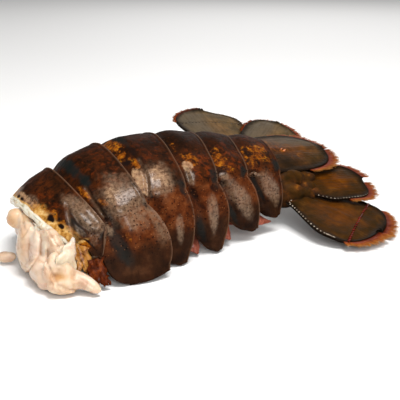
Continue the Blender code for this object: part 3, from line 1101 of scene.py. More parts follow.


# Patches of each ring by tone: along, turn, length, width, strength, slant and rag.
# The haze patches also carry a painted sheen: a pale greyish wash where the soft top light would shine.
RING_PATCHES = (
    {
        Tone.CREAM: ((0.1, 0.0, 0.14, 0.34, 0.9, 0.0, 0.3),),
        Tone.HAZE: (
            (0.24, -0.2, 0.1, 0.1, 0.6, 0.0, 0.5), (0.8, -0.76, 0.22, 0.3, 1.4, -0.15, 0.3),
            (0.45, -0.88, 0.06, 0.12, 0.6, 0.0, 0.3), (0.6, -1.15, 0.2, 0.25, 0.45, 0.5),
        ),
        Tone.AMBER: (
            (0.16, -0.6, 0.24, 0.36, 1.4, 0.0, 0.4), (0.12, -1.2, 0.18, 0.3, 1.0, 0.0, 0.4),
        ),
        Tone.RUST: (
            (0.36, -0.32, 0.24, 0.18), (0.2, -1.1, 0.25, 0.2),
        ),
        Tone.BLACK: (
            (0.21, -0.52, 0.08, 0.05, 1.2, 0.0, 0.7), (0.31, -0.59, 0.08, 0.05, 1.2, 0.0, 0.7),
            (0.22, -0.67, 0.05, 0.04, 1.2, 0.0, 0.6), (0.36, -0.7, 0.03, 0.025, 0.9, 0.0, 0.35),
            (0.11, -0.05, 0.04, 0.04, 1.0, 0.0, 0.35), (0.35, -1.3, 0.04, 0.32, 0.95, -0.1, 0.25),
        ),
        Tone.SLATE: (
            (0.47, -0.8, 0.1, 0.2, 0.8), (0.9, -1.12, 0.12, 0.16, 0.8, 0.6),
        ),
    },
    {
        Tone.SLATE: (
            (0.37, 0.0, 0.08, 0.3, 1.0, 0.0, 0.4), (0.39, -0.34, 0.06, 0.14, 0.9, 0.0, 0.5),
            (0.96, -0.96, 0.06, 0.1, 0.8), (0.26, -1.35, 0.11, 0.36, 0.95, -0.18, 0.25),
        ),
        Tone.AMBER: (
            (0.25, -0.44, 0.05, 0.1, 0.9, 0.0, 0.4), (0.37, -0.68, 0.06, 0.075, 1.0, -0.2, 0.3),
            (0.42, -1.3, 0.05, 0.1, 0.6, 0.0, 0.5),
        ),
        Tone.BLACK: (
            (0.31, -0.9, 0.05, 0.2, 0.9, 0.0, 0.3), (0.35, -1.12, 0.07, 0.08, 0.9),
        ),
        Tone.CREAM: ((0.57, -0.7, 0.14, 0.14, 0.6, 0.0, 0.4),),
        Tone.HAZE: (
            (0.68, -0.86, 0.38, 0.36, 1.0, 0.1, 0.3), (0.93, -1.32, 0.12, 0.26, 0.7, 0.2),
            (0.21, -1.14, 0.06, 0.1, 1.0, 0.0, 0.3),
        ),
        Tone.RUST: (
            (0.7, -0.25, 0.35, 0.3), (0.55, -1.25, 0.3, 0.2),
        ),
    },
    {
        Tone.AMBER: (
            (0.29, 0.0, 0.11, 0.34, 1.0, 0.08, 0.5), (0.36, -0.42, 0.08, 0.1, 1.0, -0.2, 0.4),
        ),
        Tone.SLATE: (
            (0.45, 0.04, 0.06, 0.18, 0.7), (0.92, -0.92, 0.08, 0.22, 0.85, -0.1),
        ),
        Tone.BLACK: (
            (0.28, -0.38, 0.09, 0.045, 0.9, 0.0, 0.4), (0.44, -0.3, 0.05, 0.08, 0.7, 0.0, 0.5),
            (0.32, -0.92, 0.04, 0.1, 0.9, 0.0, 0.3),
        ),
        Tone.CREAM: (
            (0.27, -0.66, 0.09, 0.2, 1.0, 0.1, 0.25), (0.57, -0.66, 0.16, 0.15, 0.7, 0.0, 0.5),
        ),
        Tone.HAZE: (
            (0.52, -0.76, 0.3, 0.24, 1.0, -0.1, 0.3), (0.72, -0.62, 0.1, 0.12, 0.6),
            (0.67, -1.48, 0.07, 0.17, 0.9, 0.1, 0.3),
        ),
        Tone.RUST: (
            (0.7, -0.25, 0.3, 0.25), (0.62, -1.2, 0.3, 0.25),
        ),
    },
    {
        Tone.AMBER: (
            (0.33, -0.2, 0.06, 0.2, 0.45, 0.0, 0.6), (0.5, -0.55, 0.15, 0.1, 0.85, -0.25, 0.5),
        ),
        Tone.CREAM: ((0.38, -0.64, 0.09, 0.1, 0.85, -0.2, 0.4),),
        Tone.HAZE: (
            (0.37, -0.82, 0.07, 0.16, 0.9, -0.1), (0.6, -1.42, 0.12, 0.26, 1.1, 0.3, 0.2),
        ),
        Tone.RUST: (
            (0.72, -0.7, 0.26, 0.4), (0.55, -1.25, 0.25, 0.2, 0.8),
        ),
        Tone.BLACK: (
            (0.36, -1.1, 0.08, 0.08, 0.7, 0.0, 0.4), (0.82, -1.08, 0.1, 0.06, 0.8, 0.0, 0.4),
        ),
        Tone.SLATE: (
            (0.93, -0.88, 0.1, 0.2, 0.9, -0.1), (0.22, -1.6, 0.1, 0.2, 0.8, 0.35, 0.3),
        ),
    },
    {
        Tone.AMBER: (
            (0.38, -0.58, 0.13, 0.18, 1.0, 0.0, 0.5), (0.58, -0.78, 0.14, 0.1, 0.45, 0.0, 0.6),
        ),
        Tone.RUST: ((0.66, -0.5, 0.3, 0.34),),
        Tone.HAZE: (
            (0.39, -0.94, 0.09, 0.1, 0.95, -0.3), (0.57, -1.36, 0.2, 0.38, 1.1, -0.15, 0.2),
        ),
        Tone.BLACK: ((0.36, -1.08, 0.07, 0.07, 0.7, 0.0, 0.4),),
        Tone.SLATE: (
            (0.87, -0.86, 0.08, 0.13, 0.9), (0.22, -1.6, 0.07, 0.24, 0.9, 0.3, 0.25),
        ),
    },
    {
        Tone.AMBER: (
            (0.6, -0.5, 0.3, 0.22, 0.8, 0.0, 0.5), (0.34, -0.52, 0.1, 0.26, 0.75, 0.0, 0.5),
        ),
        Tone.BLACK: (
            (0.36, -0.4, 0.04, 0.05, 0.9, 0.0, 0.4), (0.38, -0.5, 0.05, 0.04, 0.9, 0.0, 0.4),
            (0.31, -0.62, 0.04, 0.04, 0.9, 0.0, 0.4), (0.48, -0.7, 0.03, 0.03, 0.8, 0.0, 0.4),
            (0.52, -0.35, 0.03, 0.03, 0.8, 0.0, 0.4),
        ),
        Tone.SLATE: (
            (0.92, -0.76, 0.09, 0.14, 0.9), (0.38, -1.3, 0.07, 0.3, 0.95, -0.1, 0.25),
        ),
        Tone.HAZE: (
            (0.4, -0.98, 0.12, 0.06, 0.9, -0.3, 0.3), (0.68, -1.3, 0.2, 0.4, 1.2, -0.2, 0.2),
        ),
        Tone.RUST: ((0.65, -0.3, 0.35, 0.3),),
    },
)
RING_GROOVES = (
    (
        Groove(
            ((0.68, -0.5), (0.52, -0.6), (0.38, -0.72), (0.27, -0.84), (0.12, -0.97)), 0.55, 0.8, dark=0.2,
        ),
        Groove(((0.6, -0.62), (0.56, -0.78), (0.62, -0.95), (0.7, -1.1)), 0.5, 0.9, Tone.SLATE, 0.7),
        Groove(((0.99, -0.99), (0.84, -1.16), (0.76, -1.4)), 0.6, 1.0, Tone.SLATE, 0.8),
    ),
    (
        Groove(((0.32, -0.42), (0.28, -0.55), (0.245, -0.75), (0.225, -0.98)), 0.6, 0.75),
        Groove(((0.28, -1.05), (0.3, -1.25), (0.3, -1.5)), 0.9, 2.6, Tone.SLATE, 0.5, 0.0),
    ),
    (
        Groove(((0.44, -0.42), (0.4, -0.6), (0.29, -0.82), (0.24, -0.94)), 0.7, 0.7),
    ),
    (
        Groove(((0.33, -0.7), (0.32, -0.9), (0.35, -1.04)), 0.4, 0.9, Tone.SLATE, 0.5, 0.4),
        Groove(((0.34, -1.1), (0.36, -1.3), (0.3, -1.6)), 0.7, 1.6, Tone.SLATE, 0.3, 0.0),
    ),
    (
        Groove(((0.34, -1.1), (0.38, -1.3), (0.28, -1.6)), 0.7, 1.5, Tone.SLATE, 0.4, 0.0),
    ),
    (
        Groove(((0.36, -1.02), (0.42, -1.25), (0.34, -1.6)), 0.8, 1.5, Tone.SLATE, 0.4, 0.0),
    ),
)
# Each hinge dent: along and turn, for the rings from the second on.
HINGE_DENTS = ((0.36, -1.07), (0.32, -1.0), (0.36, -1.08), (0.36, -1.07), (0.36, -1.02))
# How dark each ring's top is, and how warm its hinges are.
TOP_SHARES = (0.3, 0.45, 0.8, 0.9, 0.8, 0.5)
HINGE_SHARES = (0.4, 0.9, 1.0, 0.8, 0.7, 0.5)


@dataclass(frozen=True)
class ShellRing:
    """One ring of the shell: an arch with a flap on each side.

    A place on it is given by along, from 0 at the tucked front edge to 1 at the rear rim, and by turn,
    which is -1 to 1 over the arch and reaches -2 and 2 at the flaps' lower edges.
    """

    index: int
    along_steps: int = 60
    around_steps: int = 320

    def front_drop(self) -> float:
        """How far the front edge lies inside the ring before it.

        Returns:
            The depth in millimetres.
        """
        if self.index == 0:
            return 0.0
        widening = RIMS[self.index].half_width - RIMS[self.index - 1].half_width
        return SHELL_DROP + 0.32 * max(0.0, widening)

    def arch(self, along: Array, turn: Array) -> Array:
        """Points of the arch.

        Args:
            along: Places along the ring.
            turn: Places around the ring.

        Returns:
            Their points.
        """
        front = RIMS[self.index]
        back = RIMS[self.index + 1]
        forward = SHELL_OVERLAP if self.index else 0.0
        start = front.point(turn, 0.0, forward)
        end = back.point(turn)
        covered = forward / np.linalg.norm(end - start, axis=-1)
        drop = self.front_drop() * (1.0 - ease(0.0, 0.42, along - covered))
        bulge = SHELL_BULGE * np.sin(math.pi * along)
        direction = unit(blend(front.outward(turn), back.outward(turn), along))
        return blend(start, end, along) + direction * (bulge - drop)[..., None]

    @staticmethod
    def flap_back_x(index: int, depth: Array) -> Array:
        """X of a flap's rear edge at a depth of 0 (hinge) to 1 (lowest edge)."""
        flap = FLAPS[index]
        return mix(RIMS[index + 1].x, flap.back_x, depth) + flap.back_bulge * np.sin(math.pi * depth ** 0.85)

    @staticmethod
    def flap_front_x(index: int, depth: Array) -> Array:
        """X of a flap's front edge, which starts under the ring before it."""
        hinge = RIMS[index].x - (SHELL_OVERLAP if index else 0.0)
        return mix(hinge, FLAPS[index].front_x, depth ** FLAPS[index].front_power)

    def flap(self, along: Array, depth: Array, side: Array) -> Array:
        """Points of the flap on one side.

        Args:
            along: Places along the ring.
            depth: Places from 0 at the hinge to 1 at the flap's lowest edge.
            side: -1 on the near side and 1 on the far side.

        Returns:
            Their points.
        """
        flap = FLAPS[self.index]
        depth = np.clip(depth, 0.0, 1.0)
        front_share = np.maximum(np.maximum(1.0 - depth ** 6.0, 0.0) ** (1.0 / 3.0), flap.toe)
        back_share = np.maximum(np.maximum(1.0 - depth ** 14.0, 0.0) ** (1.0 / 3.0), flap.heel)
        front = self.flap_front_x(self.index, depth)
        back = self.flap_back_x(self.index, depth)
        middle = mix(front, back, 0.5 if self.index < 2 else 0.62)
        front = mix(middle, front, front_share)
        back = mix(middle, back, back_share)
        front_y = mix(RIMS[self.index].half_width, flap.tip_y, depth)
        back_y = mix(RIMS[self.index + 1].half_width, flap.tip_y, depth)
        covered = np.zeros_like(depth)
        if self.index:
            under = self.flap_back_x(self.index - 1, depth) + 1.0
            covered = np.clip((under - front) / np.maximum(1.0, back - front), 0.0, 0.6)
        drop = self.front_drop() * (1.0 - ease(0.0, 0.42, along - covered))
        drop = drop * (1.0 - flap.flare * ease(0.55, 0.95, depth))
        bulge = SHELL_BULGE * np.sin(math.pi * along) + 0.8 * np.sin(math.pi * depth)
        hinge_z = mix(RIMS[self.index].hinge_z, RIMS[self.index + 1].hinge_z, along)
        return np.stack((
            mix(front, back, along),
            side * (mix(front_y, back_y, along) + bulge - drop),
            mix(hinge_z, flap.tip_z + flap.heel_rise * along * along, depth),
        ), axis=-1)

    def place(self, along: Array, turn: Array) -> Array:
        """Points at an along and a turn.

        Args:
            along: Places along the ring.
            turn: Places around the ring.

        Returns:
            Their points.
        """
        along = np.asarray(along, float)
        turn = np.asarray(turn, float)
        arch = self.arch(along, np.clip(turn, -1.0, 1.0))
        flap = self.flap(along, np.abs(turn) - 1.0, np.sign(turn))
        return np.where((np.abs(turn) > 1.0)[..., None], flap, arch)

    def surface(self, first: Array, second: Array) -> Array:
        """The ring as a surface over two numbers between 0 and 1."""
        return self.place(first, self.turn_of(second))

    @staticmethod
    def turn_of(second: Array) -> Array:
        """Spread the second number over the flaps and the arch."""
        return -2.0 + 4.0 * second

    def behind(self, first: Array, turn: Array) -> Array:
        """Distance in millimetres in front of the rear rim."""
        ends = self.place(np.ones_like(turn), turn) - self.place(np.zeros_like(turn), turn)
        return (1.0 - first) * np.linalg.norm(ends, axis=-1)

    def relief(self, first: Array, second: Array, points: Array) -> Array:
        """Height in millimetres of the rim's lip, the grooves, the dents and the natural unevenness.

        Args:
            first: First numbers.
            second: Second numbers.
            points: Layout points.

        Returns:
            One height for each point.
        """
        turn = self.turn_of(second)
        behind = self.behind(first, turn)
        height = 0.16 * ridge(behind, 0.45) - 0.16 * ridge(behind - 1.1, 0.5)
        height += 0.32 * wobble(points, 11.0, self.index + 1.0) + 0.12 * wobble(points, 3.4, self.index + 9.0)
        for groove in RING_GROOVES[self.index]:
            distance = groove.distance(self, points)
            beside = 0.45 * ridge(distance - 1.5 * groove.width, groove.width)
            height += groove.depth * (beside - ridge(distance, groove.width))
        if self.index:
            along, turn_there = HINGE_DENTS[self.index - 1]
            spot = self.place(np.array([along]), np.array([turn_there]))
            near = np.column_stack((points[:, 0], -np.abs(points[:, 1]), points[:, 2]))
            height -= 0.5 * ridge(np.linalg.norm(near - spot, axis=-1), 1.8)
        return height

    def colours(self, first: Array, second: Array, points: Array) -> dict:
        """The attributes that the shell finish reads.

        Args:
            first: First numbers.
            second: Second numbers.
            points: Layout points.

        Returns:
            Channels by attribute name.
        """
        turn = self.turn_of(second)
        near = -np.abs(turn) if self.index == 0 else np.where(turn > 0.25, -turn, turn)
        coarse = wobble(points, 4.2, self.index + 20.0)
        fine = wobble(points, 1.5, self.index + 31.0)
        shares = {name: [np.zeros_like(first) for _ in range(3)] for name in ("patches", "sheen_and_marks", "zones")}
        for tone, patches in RING_PATCHES[self.index].items():
            name, channel = tone.value
            for numbers in patches:
                mask = Patch(*numbers).mask(first, near, coarse, fine)
                shares[name][channel] = np.maximum(shares[name][channel], mask)
        for groove in RING_GROOVES[self.index]:
            distance = groove.distance(self, points)
            name, channel = groove.tone.value
            mask = groove.strength * ridge(distance, 0.8 * groove.width)
            shares[name][channel] = np.maximum(shares[name][channel], mask)
            black = groove.dark * ridge(distance - 1.5 * groove.width, 0.7 * groove.width)
            along, turns = np.array(groove.path[::-1]).T
            black = black * (first > np.interp(near, turns, along))
            shares["zones"][2] = np.maximum(shares["zones"][2], black)
        # Painted edge highlight: a pale line along each rear rim, weaker on the last ring's top.
        rim = 0.9 * ease(0.5, 0.15, self.behind(first, turn))
        if self.index == 5:
            rim = rim * (0.25 + 0.75 * ease(0.8, 1.0, np.abs(turn)))
        shares["sheen_and_marks"][1] = np.maximum(shares["sheen_and_marks"][1], rim)
        shares["sheen_and_marks"][2] = ease(0.6, 0.85, np.abs(turn)) * ease(1.8, 1.5, np.abs(turn))
        shares["zones"][0] = ease(1.25, 1.65, np.abs(turn) + 0.1 * coarse)
        edge_gap = np.linalg.norm(points - self.place(np.zeros_like(turn), turn), axis=-1)
        margin = ease(1.9, 0.3, edge_gap + 0.6 * coarse)
        pale_zone = ease(7.5, 1.0, edge_gap + 1.4 * coarse + 0.8 * fine)
        pale_zone = pale_zone * ease(0.16, 0.4, np.abs(turn))
        margin = np.maximum(margin, 0.42 * pale_zone) * (1.0 - shares["zones"][2])
        top = ease(0.62, 0.2, np.abs(turn + 0.02) + 0.08 * coarse)
        hinge = ease(0.86, 1.02, np.abs(turn) + 0.08 * coarse)
        hinge = hinge * ease(1.62, 1.3, np.abs(turn) + 0.1 * coarse)
        shares["skin"] = [
            margin * (np.abs(turn) < 1.1) if self.index == 0 else 0.0 * turn,
            top * TOP_SHARES[self.index],
            hinge * HINGE_SHARES[self.index],
        ]
        return {name: tuple(channels) for name, channels in shares.items()}

    def build(self, finish: Material) -> Piece:
        """Make the ring and let it stand for its node.

        Args:
            finish: The piece's material.

        Returns:
            The piece.
        """
        number = self.index + 1
        steps = (self.along_steps, self.around_steps)
        made = Sheet(f"ring_{number}", self.surface, steps, self.relief, SHELL_THICKNESS).build(self.colours)
        return dress(made, finish, f"shell_segment_{number}")


# Meat and the torn pieces at the cut end


@dataclass(frozen=True)
class TornSheet:
    """A thin wavy piece with a ragged lower edge between four corners: upper two, then lower two."""

    name: str
    corners: tuple
    wave: float
    rag: float
    thickness: float = 0.7
    bulge: float = 0.0

    def surface(self, first: Array, second: Array) -> Array:
        """The sheet: the first number runs across, the second one down.

        Args:
            first: First numbers.
            second: Second numbers.

        Returns:
            Their points.
        """
        upper_left, upper_right, lower_left, lower_right = (np.array(corner) for corner in self.corners)
        tooth = np.abs(np.sin(9.0 * first + 1.0)) + 0.5 * np.abs(np.sin(23.0 * first))
        down = (second * (1.0 + self.rag * (tooth - 0.9)))[:, None]
        side = (first + 0.06 * np.sin(14.0 * second + 2.0) * (2.0 * first - 1.0))[:, None]
        upper = upper_left + side * (upper_right - upper_left)
        lower = lower_left + side * (lower_right - lower_left)
        normal = unit(np.cross(lower_right - upper_left, lower_left - upper_left + 1e-6))
        swell = self.wave * (np.sin(5.0 * first + 4.0 * second) + 0.35 * np.sin(17.0 * first - 6.0 * second))
        swell = swell + self.bulge * np.sin(math.pi * first) * np.sin(math.pi * np.clip(second, 0.0, 1.0))
        return upper + down * (lower - upper) + swell[:, None] * normal

    @staticmethod
    def relief(_first: Array, _second: Array, points: Array) -> Array:
        """Fine unevenness in millimetres."""
        return 0.2 * wobble(points, 1.6, 7.0)

    @staticmethod
    def tones(first: Array, second: Array, _points: Array) -> dict:
        """The attributes that the meat's finish reads: a little amber, and pale at the top."""
        none = np.zeros_like(first)
        return {"tones": (none + 0.1, none, 0.5 * ease(0.9, 0.2, second)), "fold_shade": (none, none, none)}

    def sheet(self) -> Piece:
        """Make the sheet without a finish."""
        return Sheet(self.name, self.surface, (40, 40), self.relief, self.thickness).build(self.tones)

    def build(self, finish: Material, node: str, slot: str) -> Piece:
        """Make the sheet and let it stand for a node."""
        return dress(self.sheet(), finish, node)


TORN_TISSUE = TornSheet(
    "torn_tissue",
    ((-26.7, -27.2, 14.8), (-22.6, -29.2, 13.0), (-27.4, -31.2, 7.2), (-21.8, -32.6, 5.0)),
    wave=0.45, rag=0.22, thickness=0.8, bulge=0.8,
)
TORN_LEAF = TornSheet(
    "torn_leaf",
    ((-23.6, -30.6, 9.2), (-18.6, -32.0, 9.8), (-25.6, -35.4, 3.0), (-18.2, -36.4, 1.2)),
    wave=0.22, rag=0.14, thickness=0.8, bulge=0.9,
)
# The thin films on the meat: the pointed one that rises to the shell, and the skin below the rim.
FILMS = (
    TornSheet(
        "film_petal",
        ((-27.2, -27.5, 17.0), (-26.8, -27.8, 16.4), (-35.2, -31.2, 11.2), (-28.6, -32.0, 7.0)),
        wave=0.12, rag=0.06, thickness=0.5, bulge=-0.8,
    ),
    TornSheet(
        "film_upper",
        ((-34.6, -12.6, 18.6), (-29.8, -22.4, 16.0), (-36.2, -14.4, 15.0), (-31.4, -24.0, 13.4)),
        wave=0.12, rag=0.12, thickness=0.5, bulge=-0.5,
    ),
)


@dataclass(frozen=True)
class Lobe:
    """One rounded lobe of meat: its middle, its radii, and the way that its long radius points."""

    centre: tuple
    radii: tuple
    direction: tuple = (0.0, 0.0, 1.0)
    amber: float = 0.0
    pink: float = 0.0
    pale: float = 0.0

    def build(self) -> Piece:
        """Add the lobe as an ellipsoid."""
        return ellipsoid(self.centre, self.radii, self.direction)

    def near(self, points: Array) -> Array:
        """1 at the lobe's middle, falling off past its surface."""
        return ridge(np.linalg.norm((points - np.array(self.centre)) / np.array(self.radii), axis=-1), 1.15)


FRONT_LOBES = (
    Lobe((-37.4, -1.7, 17.6), (3.3, 3.7, 3.6), amber=1.0),
    Lobe((-34.6, -5.2, 16.4), (3.2, 4.8, 4.2), (0.0, 0.2, 1.0), amber=1.0),
    Lobe((-36.2, -10.6, 9.4), (4.4, 6.0, 9.4), (0.0, -0.1, 1.0), pale=0.3),
    Lobe((-34.8, -16.2, 9.2), (3.8, 4.0, 8.6), (0.1, -0.1, 1.0), pale=1.0),
    Lobe((-31.6, -19.6, 11.0), (4.0, 8.0, 7.6), amber=0.12),
    Lobe((-36.6, -21.6, 5.4), (4.0, 5.6, 4.8), pink=0.9),
    Lobe((-37.0, -26.4, 3.9), (3.2, 4.0, 3.8), pink=1.0),
    Lobe((-34.2, -28.6, 7.8), (2.9, 4.6, 5.8), (0.2, 0.1, 0.9)),
    Lobe((-31.5, -31.2, 5.6), (3.2, 4.2, 5.0), amber=0.15),
    Lobe((-32.2, -33.2, 3.5), (3.1, 3.2, 6.4), (1.0, -0.25, 0.1), amber=0.55),
    Lobe((-27.4, -34.6, 4.2), (2.4, 2.7, 7.8), (0.55, -0.75, -0.33), pink=0.5),
    Lobe((-29.5, -22.5, 9.0), (4.0, 5.5, 5.4)),
    Lobe((-27.4, -23.4, 6.0), (4.0, 4.2, 5.0), amber=0.6),
    Lobe((-27.5, -4.0, 14.0), (6.5, 16.0, 6.0), amber=0.4),
    Lobe((-29.0, 9.0, 10.5), (5.5, 8.0, 8.0), pale=0.5),
)
# Coloured places on the meat that are no lobes of their own.
FRONT_TINTS = (
    Lobe((-37.6, -13.6, 10.4), (3.0, 1.7, 6.2), amber=0.9),
    Lobe((-36.0, -17.4, 9.0), (3.0, 1.6, 6.6), pale=1.0),
    Lobe((-34.6, -33.0, 6.4), (3.0, 3.6, 1.3), amber=0.9),
)


@dataclass(frozen=True)
class Crease:
    """The edge of a fold on the meat, as a path of millimetres across and up in the camera's picture.

    The fold's raised side is the one on the right of the path's way, and reach is how far it is raised.
    """

    path: tuple
    depth: float
    width: float
    reach: float

    def measure(self, seen: Array) -> tuple[Array, Array]:
        """Height in millimetres that the edge gives each point, and the painted shade on its lower side.

        Args:
            seen: The points in the camera's picture, in millimetres across and up.

        Returns:
            One height and one share of painted shade for each point.
        """
        best = np.full(len(seen), 1e9)
        side = np.ones(len(seen))
        for start, end in zip(np.array(self.path[:-1]), np.array(self.path[1:])):
            line = end - start
            share = np.clip(((seen - start) @ line) / (line @ line), 0.0, 1.0)
            gap = seen - start - share[:, None] * line
            distance = np.linalg.norm(gap, axis=1)
            turn = np.sign(line[1] * gap[:, 0] - line[0] * gap[:, 1])
            side = np.where(distance < best, turn, side)
            best = np.minimum(best, distance)
        raised = 0.6 * ridge(best, self.reach) * ease(-0.3, 0.5, best * side)
        sunk = ridge(best + 0.3, self.width + 0.3) * (side < 0.0)
        return self.depth * (raised - 0.7 * sunk), np.clip(self.depth * 1.1, 0.0, 1.0) * sunk


CREASES = (
    Crease(((-69.9, -2.7), (-68.9, -7.0), (-68.6, -11.3)), 0.5, 0.5, 1.6),
    Crease(((-68.3, -14.1), (-66.6, -11.5), (-64.5, -9.1)), 0.6, 0.4, 1.2),
    Crease(((-63.6, -9.7), (-62.1, -15.7), (-62.3, -20.9), (-65.6, -26.0), (-66.8, -27.6)), 0.9, 0.6, 2.6),
    Crease(((-60.9, -9.2), (-57.9, -14.2), (-54.8, -18.5), (-51.7, -16.8), (-50.5, -14.0)), 0.8, 0.4, 2.0),
    Crease(((-59.5, -19.8), (-59.7, -25.1), (-57.3, -29.3), (-56.1, -32.1)), 1.1, 0.6, 3.0),
    Crease(((-58.0, -32.2), (-52.7, -34.6), (-46.6, -35.7), (-42.7, -36.5)), 0.8, 0.5, 2.4),
    Crease(((-55.9, -22.1), (-53.6, -24.3), (-50.5, -24.1), (-48.9, -22.5)), 0.6, 0.4, 2.0),
    Crease(((-48.9, -29.5), (-45.8, -30.9), (-41.3, -34.3)), 0.6, 0.4, 1.6),
    Crease(((-66.0, -24.1), (-63.5, -23.1), (-60.4, -24.3)), 0.6, 0.5, 1.8),
    Crease(((-66.8, -15.5), (-67.2, -20.2), (-66.0, -24.1)), 0.35, 0.7, 2.0),
)


@dataclass(frozen=True)
class Meat:
    """The meat: soft lobes at the cut end, on a long body that fills the rings."""

    inset: float = 4.8
    low: float = 10.0
    voxel: float = 0.5
    middle: tuple = (-24.0, -12.0, 8.0)
    fold_limit: float = -26.96
    scrap_centre: tuple = (-40.6, 2.4, 2.5)

    def body(self) -> list[Piece]:
        """Ellipsoids from ring to ring, which the remesh joins into one body.

        Returns:
            The ellipsoids.
        """
        made = []
        for front, back in zip(RIMS[:-1], RIMS[1:]):
            x = (front.x + back.x) / 2
            wide = (front.half_width + back.half_width) / 2 - self.inset - 0.8
            top = (front.hinge_z + back.hinge_z) / 2 + (front.rise + back.rise) / 2 - self.inset - 2.2
            floor = mix(self.low, 19.5, ease(-20.0, 50.0, x))
            made.append(Lobe((x, 0.0, (top + floor) / 2), (11.0, wide, (top - floor) / 2 + 1.0)).build())
        return made

    def folded(self, points: Array) -> tuple[Array, Array]:
        """Give the lobes their creases and fine unevenness, and work out the painted shade on each crease's
        lower side.

        Args:
            points: Layout points of the remeshed lobes.

        Returns:
            The moved points, and the painted shade that each one gets as the lower side of a fold.
        """
        away = unit(points - np.array(self.middle))
        front = ease(-20.0, -26.0, points[:, 0])
        swell = 0.30 * wobble(points, 3.2, 3.0) + 0.16 * wobble(points, 1.4, 4.0)
        swell = swell + 0.13 * wobble(points * (0.8, 0.35, 1.6), 0.9, 12.0)
        seen = Studio().picture(points)
        toward = points[:, 0] + 0.58 * points[:, 1] < self.fold_limit
        # Painted shade on the lower side of each crease, given back to be painted.
        dark = np.zeros(len(points))
        for crease in CREASES:
            height, shade = crease.measure(seen)
            swell = swell + height * toward
            dark = np.maximum(dark, shade * toward)
        return points + away * (front * swell)[:, None], dark

    @staticmethod
    def tones(points: Array) -> list[Array]:
        """How amber, pink and pale the nearest lobes make each point.

        Args:
            points: Layout points.

        Returns:
            Three channels, one value for each point.
        """
        made = [np.zeros(len(points)) for _ in range(3)]
        for lobe in FRONT_LOBES + FRONT_TINTS:
            for channel, share in enumerate((lobe.amber, lobe.pink, lobe.pale)):
                made[channel] = np.maximum(made[channel], share * lobe.near(points))
        return made

    def lobes(self, finish: Material) -> Piece:
        """Make the meat with the films that lie on it.

        Args:
            finish: The piece's material.

        Returns:
            The piece.
        """
        made = join([*(lobe.build() for lobe in FRONT_LOBES), *self.body()], "meat_lobes")
        apply_modifier(made, "REMESH", mode="VOXEL", voxel_size=self.voxel * MM)
        apply_modifier(made, "SMOOTH", factor=0.5, iterations=12)
        points, dark = self.folded(points_of(made) / MM - LAYOUT_SHIFT)
        paint(made, "tones", self.tones(points))
        move_points(made, to_scene(above_floor(points)))
        rear = ease(40.0, 50.0, points[:, 0])
        # Painted shade in the creases and on their lower sides, with the darker rear end in the second
        # channel.
        paint(made, "fold_shade", (np.maximum(hollows(made, 14), 0.8 * dark), rear, np.zeros(len(points))))
        made = join([made] + [film.sheet() for film in FILMS], "meat_lobes")
        smooth(made)
        return dress(made, finish, "meat")

    def scrap(self, finish: Material) -> Piece:
        """Make the loose end beside the meat.

        Args:
            finish: The piece's material.

        Returns:
            The piece.
        """
        made = ellipsoid(self.scrap_centre, (1.7, 2.0, 3.7), (-0.85, 0.5, -0.05))
        points = points_of(made) / MM - LAYOUT_SHIFT
        away = unit(points - np.array(self.scrap_centre))
        points = points + away * (0.5 * wobble(points, 2.2, 5.0))[:, None]
        none = np.zeros(len(points))
        paint(made, "tones", (none + 0.2, none, none + 0.3))
        paint(made, "fold_shade", (none, none, none))
        move_points(made, to_scene(points))
        made.name = "meat_end"
        smooth(made)
        return dress(made, finish, "meat_scrap")

    def build(self, finish: Material) -> list[Piece]:
        """Make the meat and its loose scrap."""
        return [self.lobes(finish), self.scrap(finish)]


@dataclass(frozen=True)
class Membrane:
    """The soft white band inside the first ring's front edge."""

    reach: float = 1.0
    tuck: float = -2.5
    turn_limit: float = 0.93

    def surface(self, first: Array, second: Array) -> Array:
        """The band: the first number runs forward, the second one round the arch.

        Args:
            first: First numbers.
            second: Second numbers.

        Returns:
            Their points.
        """
        turn = self.turn_limit * (2.0 * second - 1.0)
        wave = 0.35 * np.sin(9.0 * turn) + 0.3 * np.sin(23.0 * turn + 1.0)
        forward = mix(self.tuck, self.reach + wave, first)
        inset = 0.9 + 0.9 * ease(0.75, 1.0, first) + 0.8 * ease(0.5, 0.0, first)
        return RIMS[0].point(turn, inset, forward)

    @staticmethod
    def relief(_first: Array, _second: Array, points: Array) -> Array:
        """Fine unevenness in millimetres."""
        return 0.22 * wobble(points, 2.4, 6.0)

    def build(self, finish: Material) -> Piece:
        """Make the band."""
        made = Sheet("membrane_band", self.surface, (18, 150), self.relief, 0.8).build()
        return dress(made, finish, "membrane_rim")


# Underside


def underside_height(x: Array) -> Array:
    """Height of the skin that closes the tail from below."""
    return mix(6.5, 16.0, ease(-0.1, 0.85, (np.asarray(x, float) + 28.3) / 90.8))


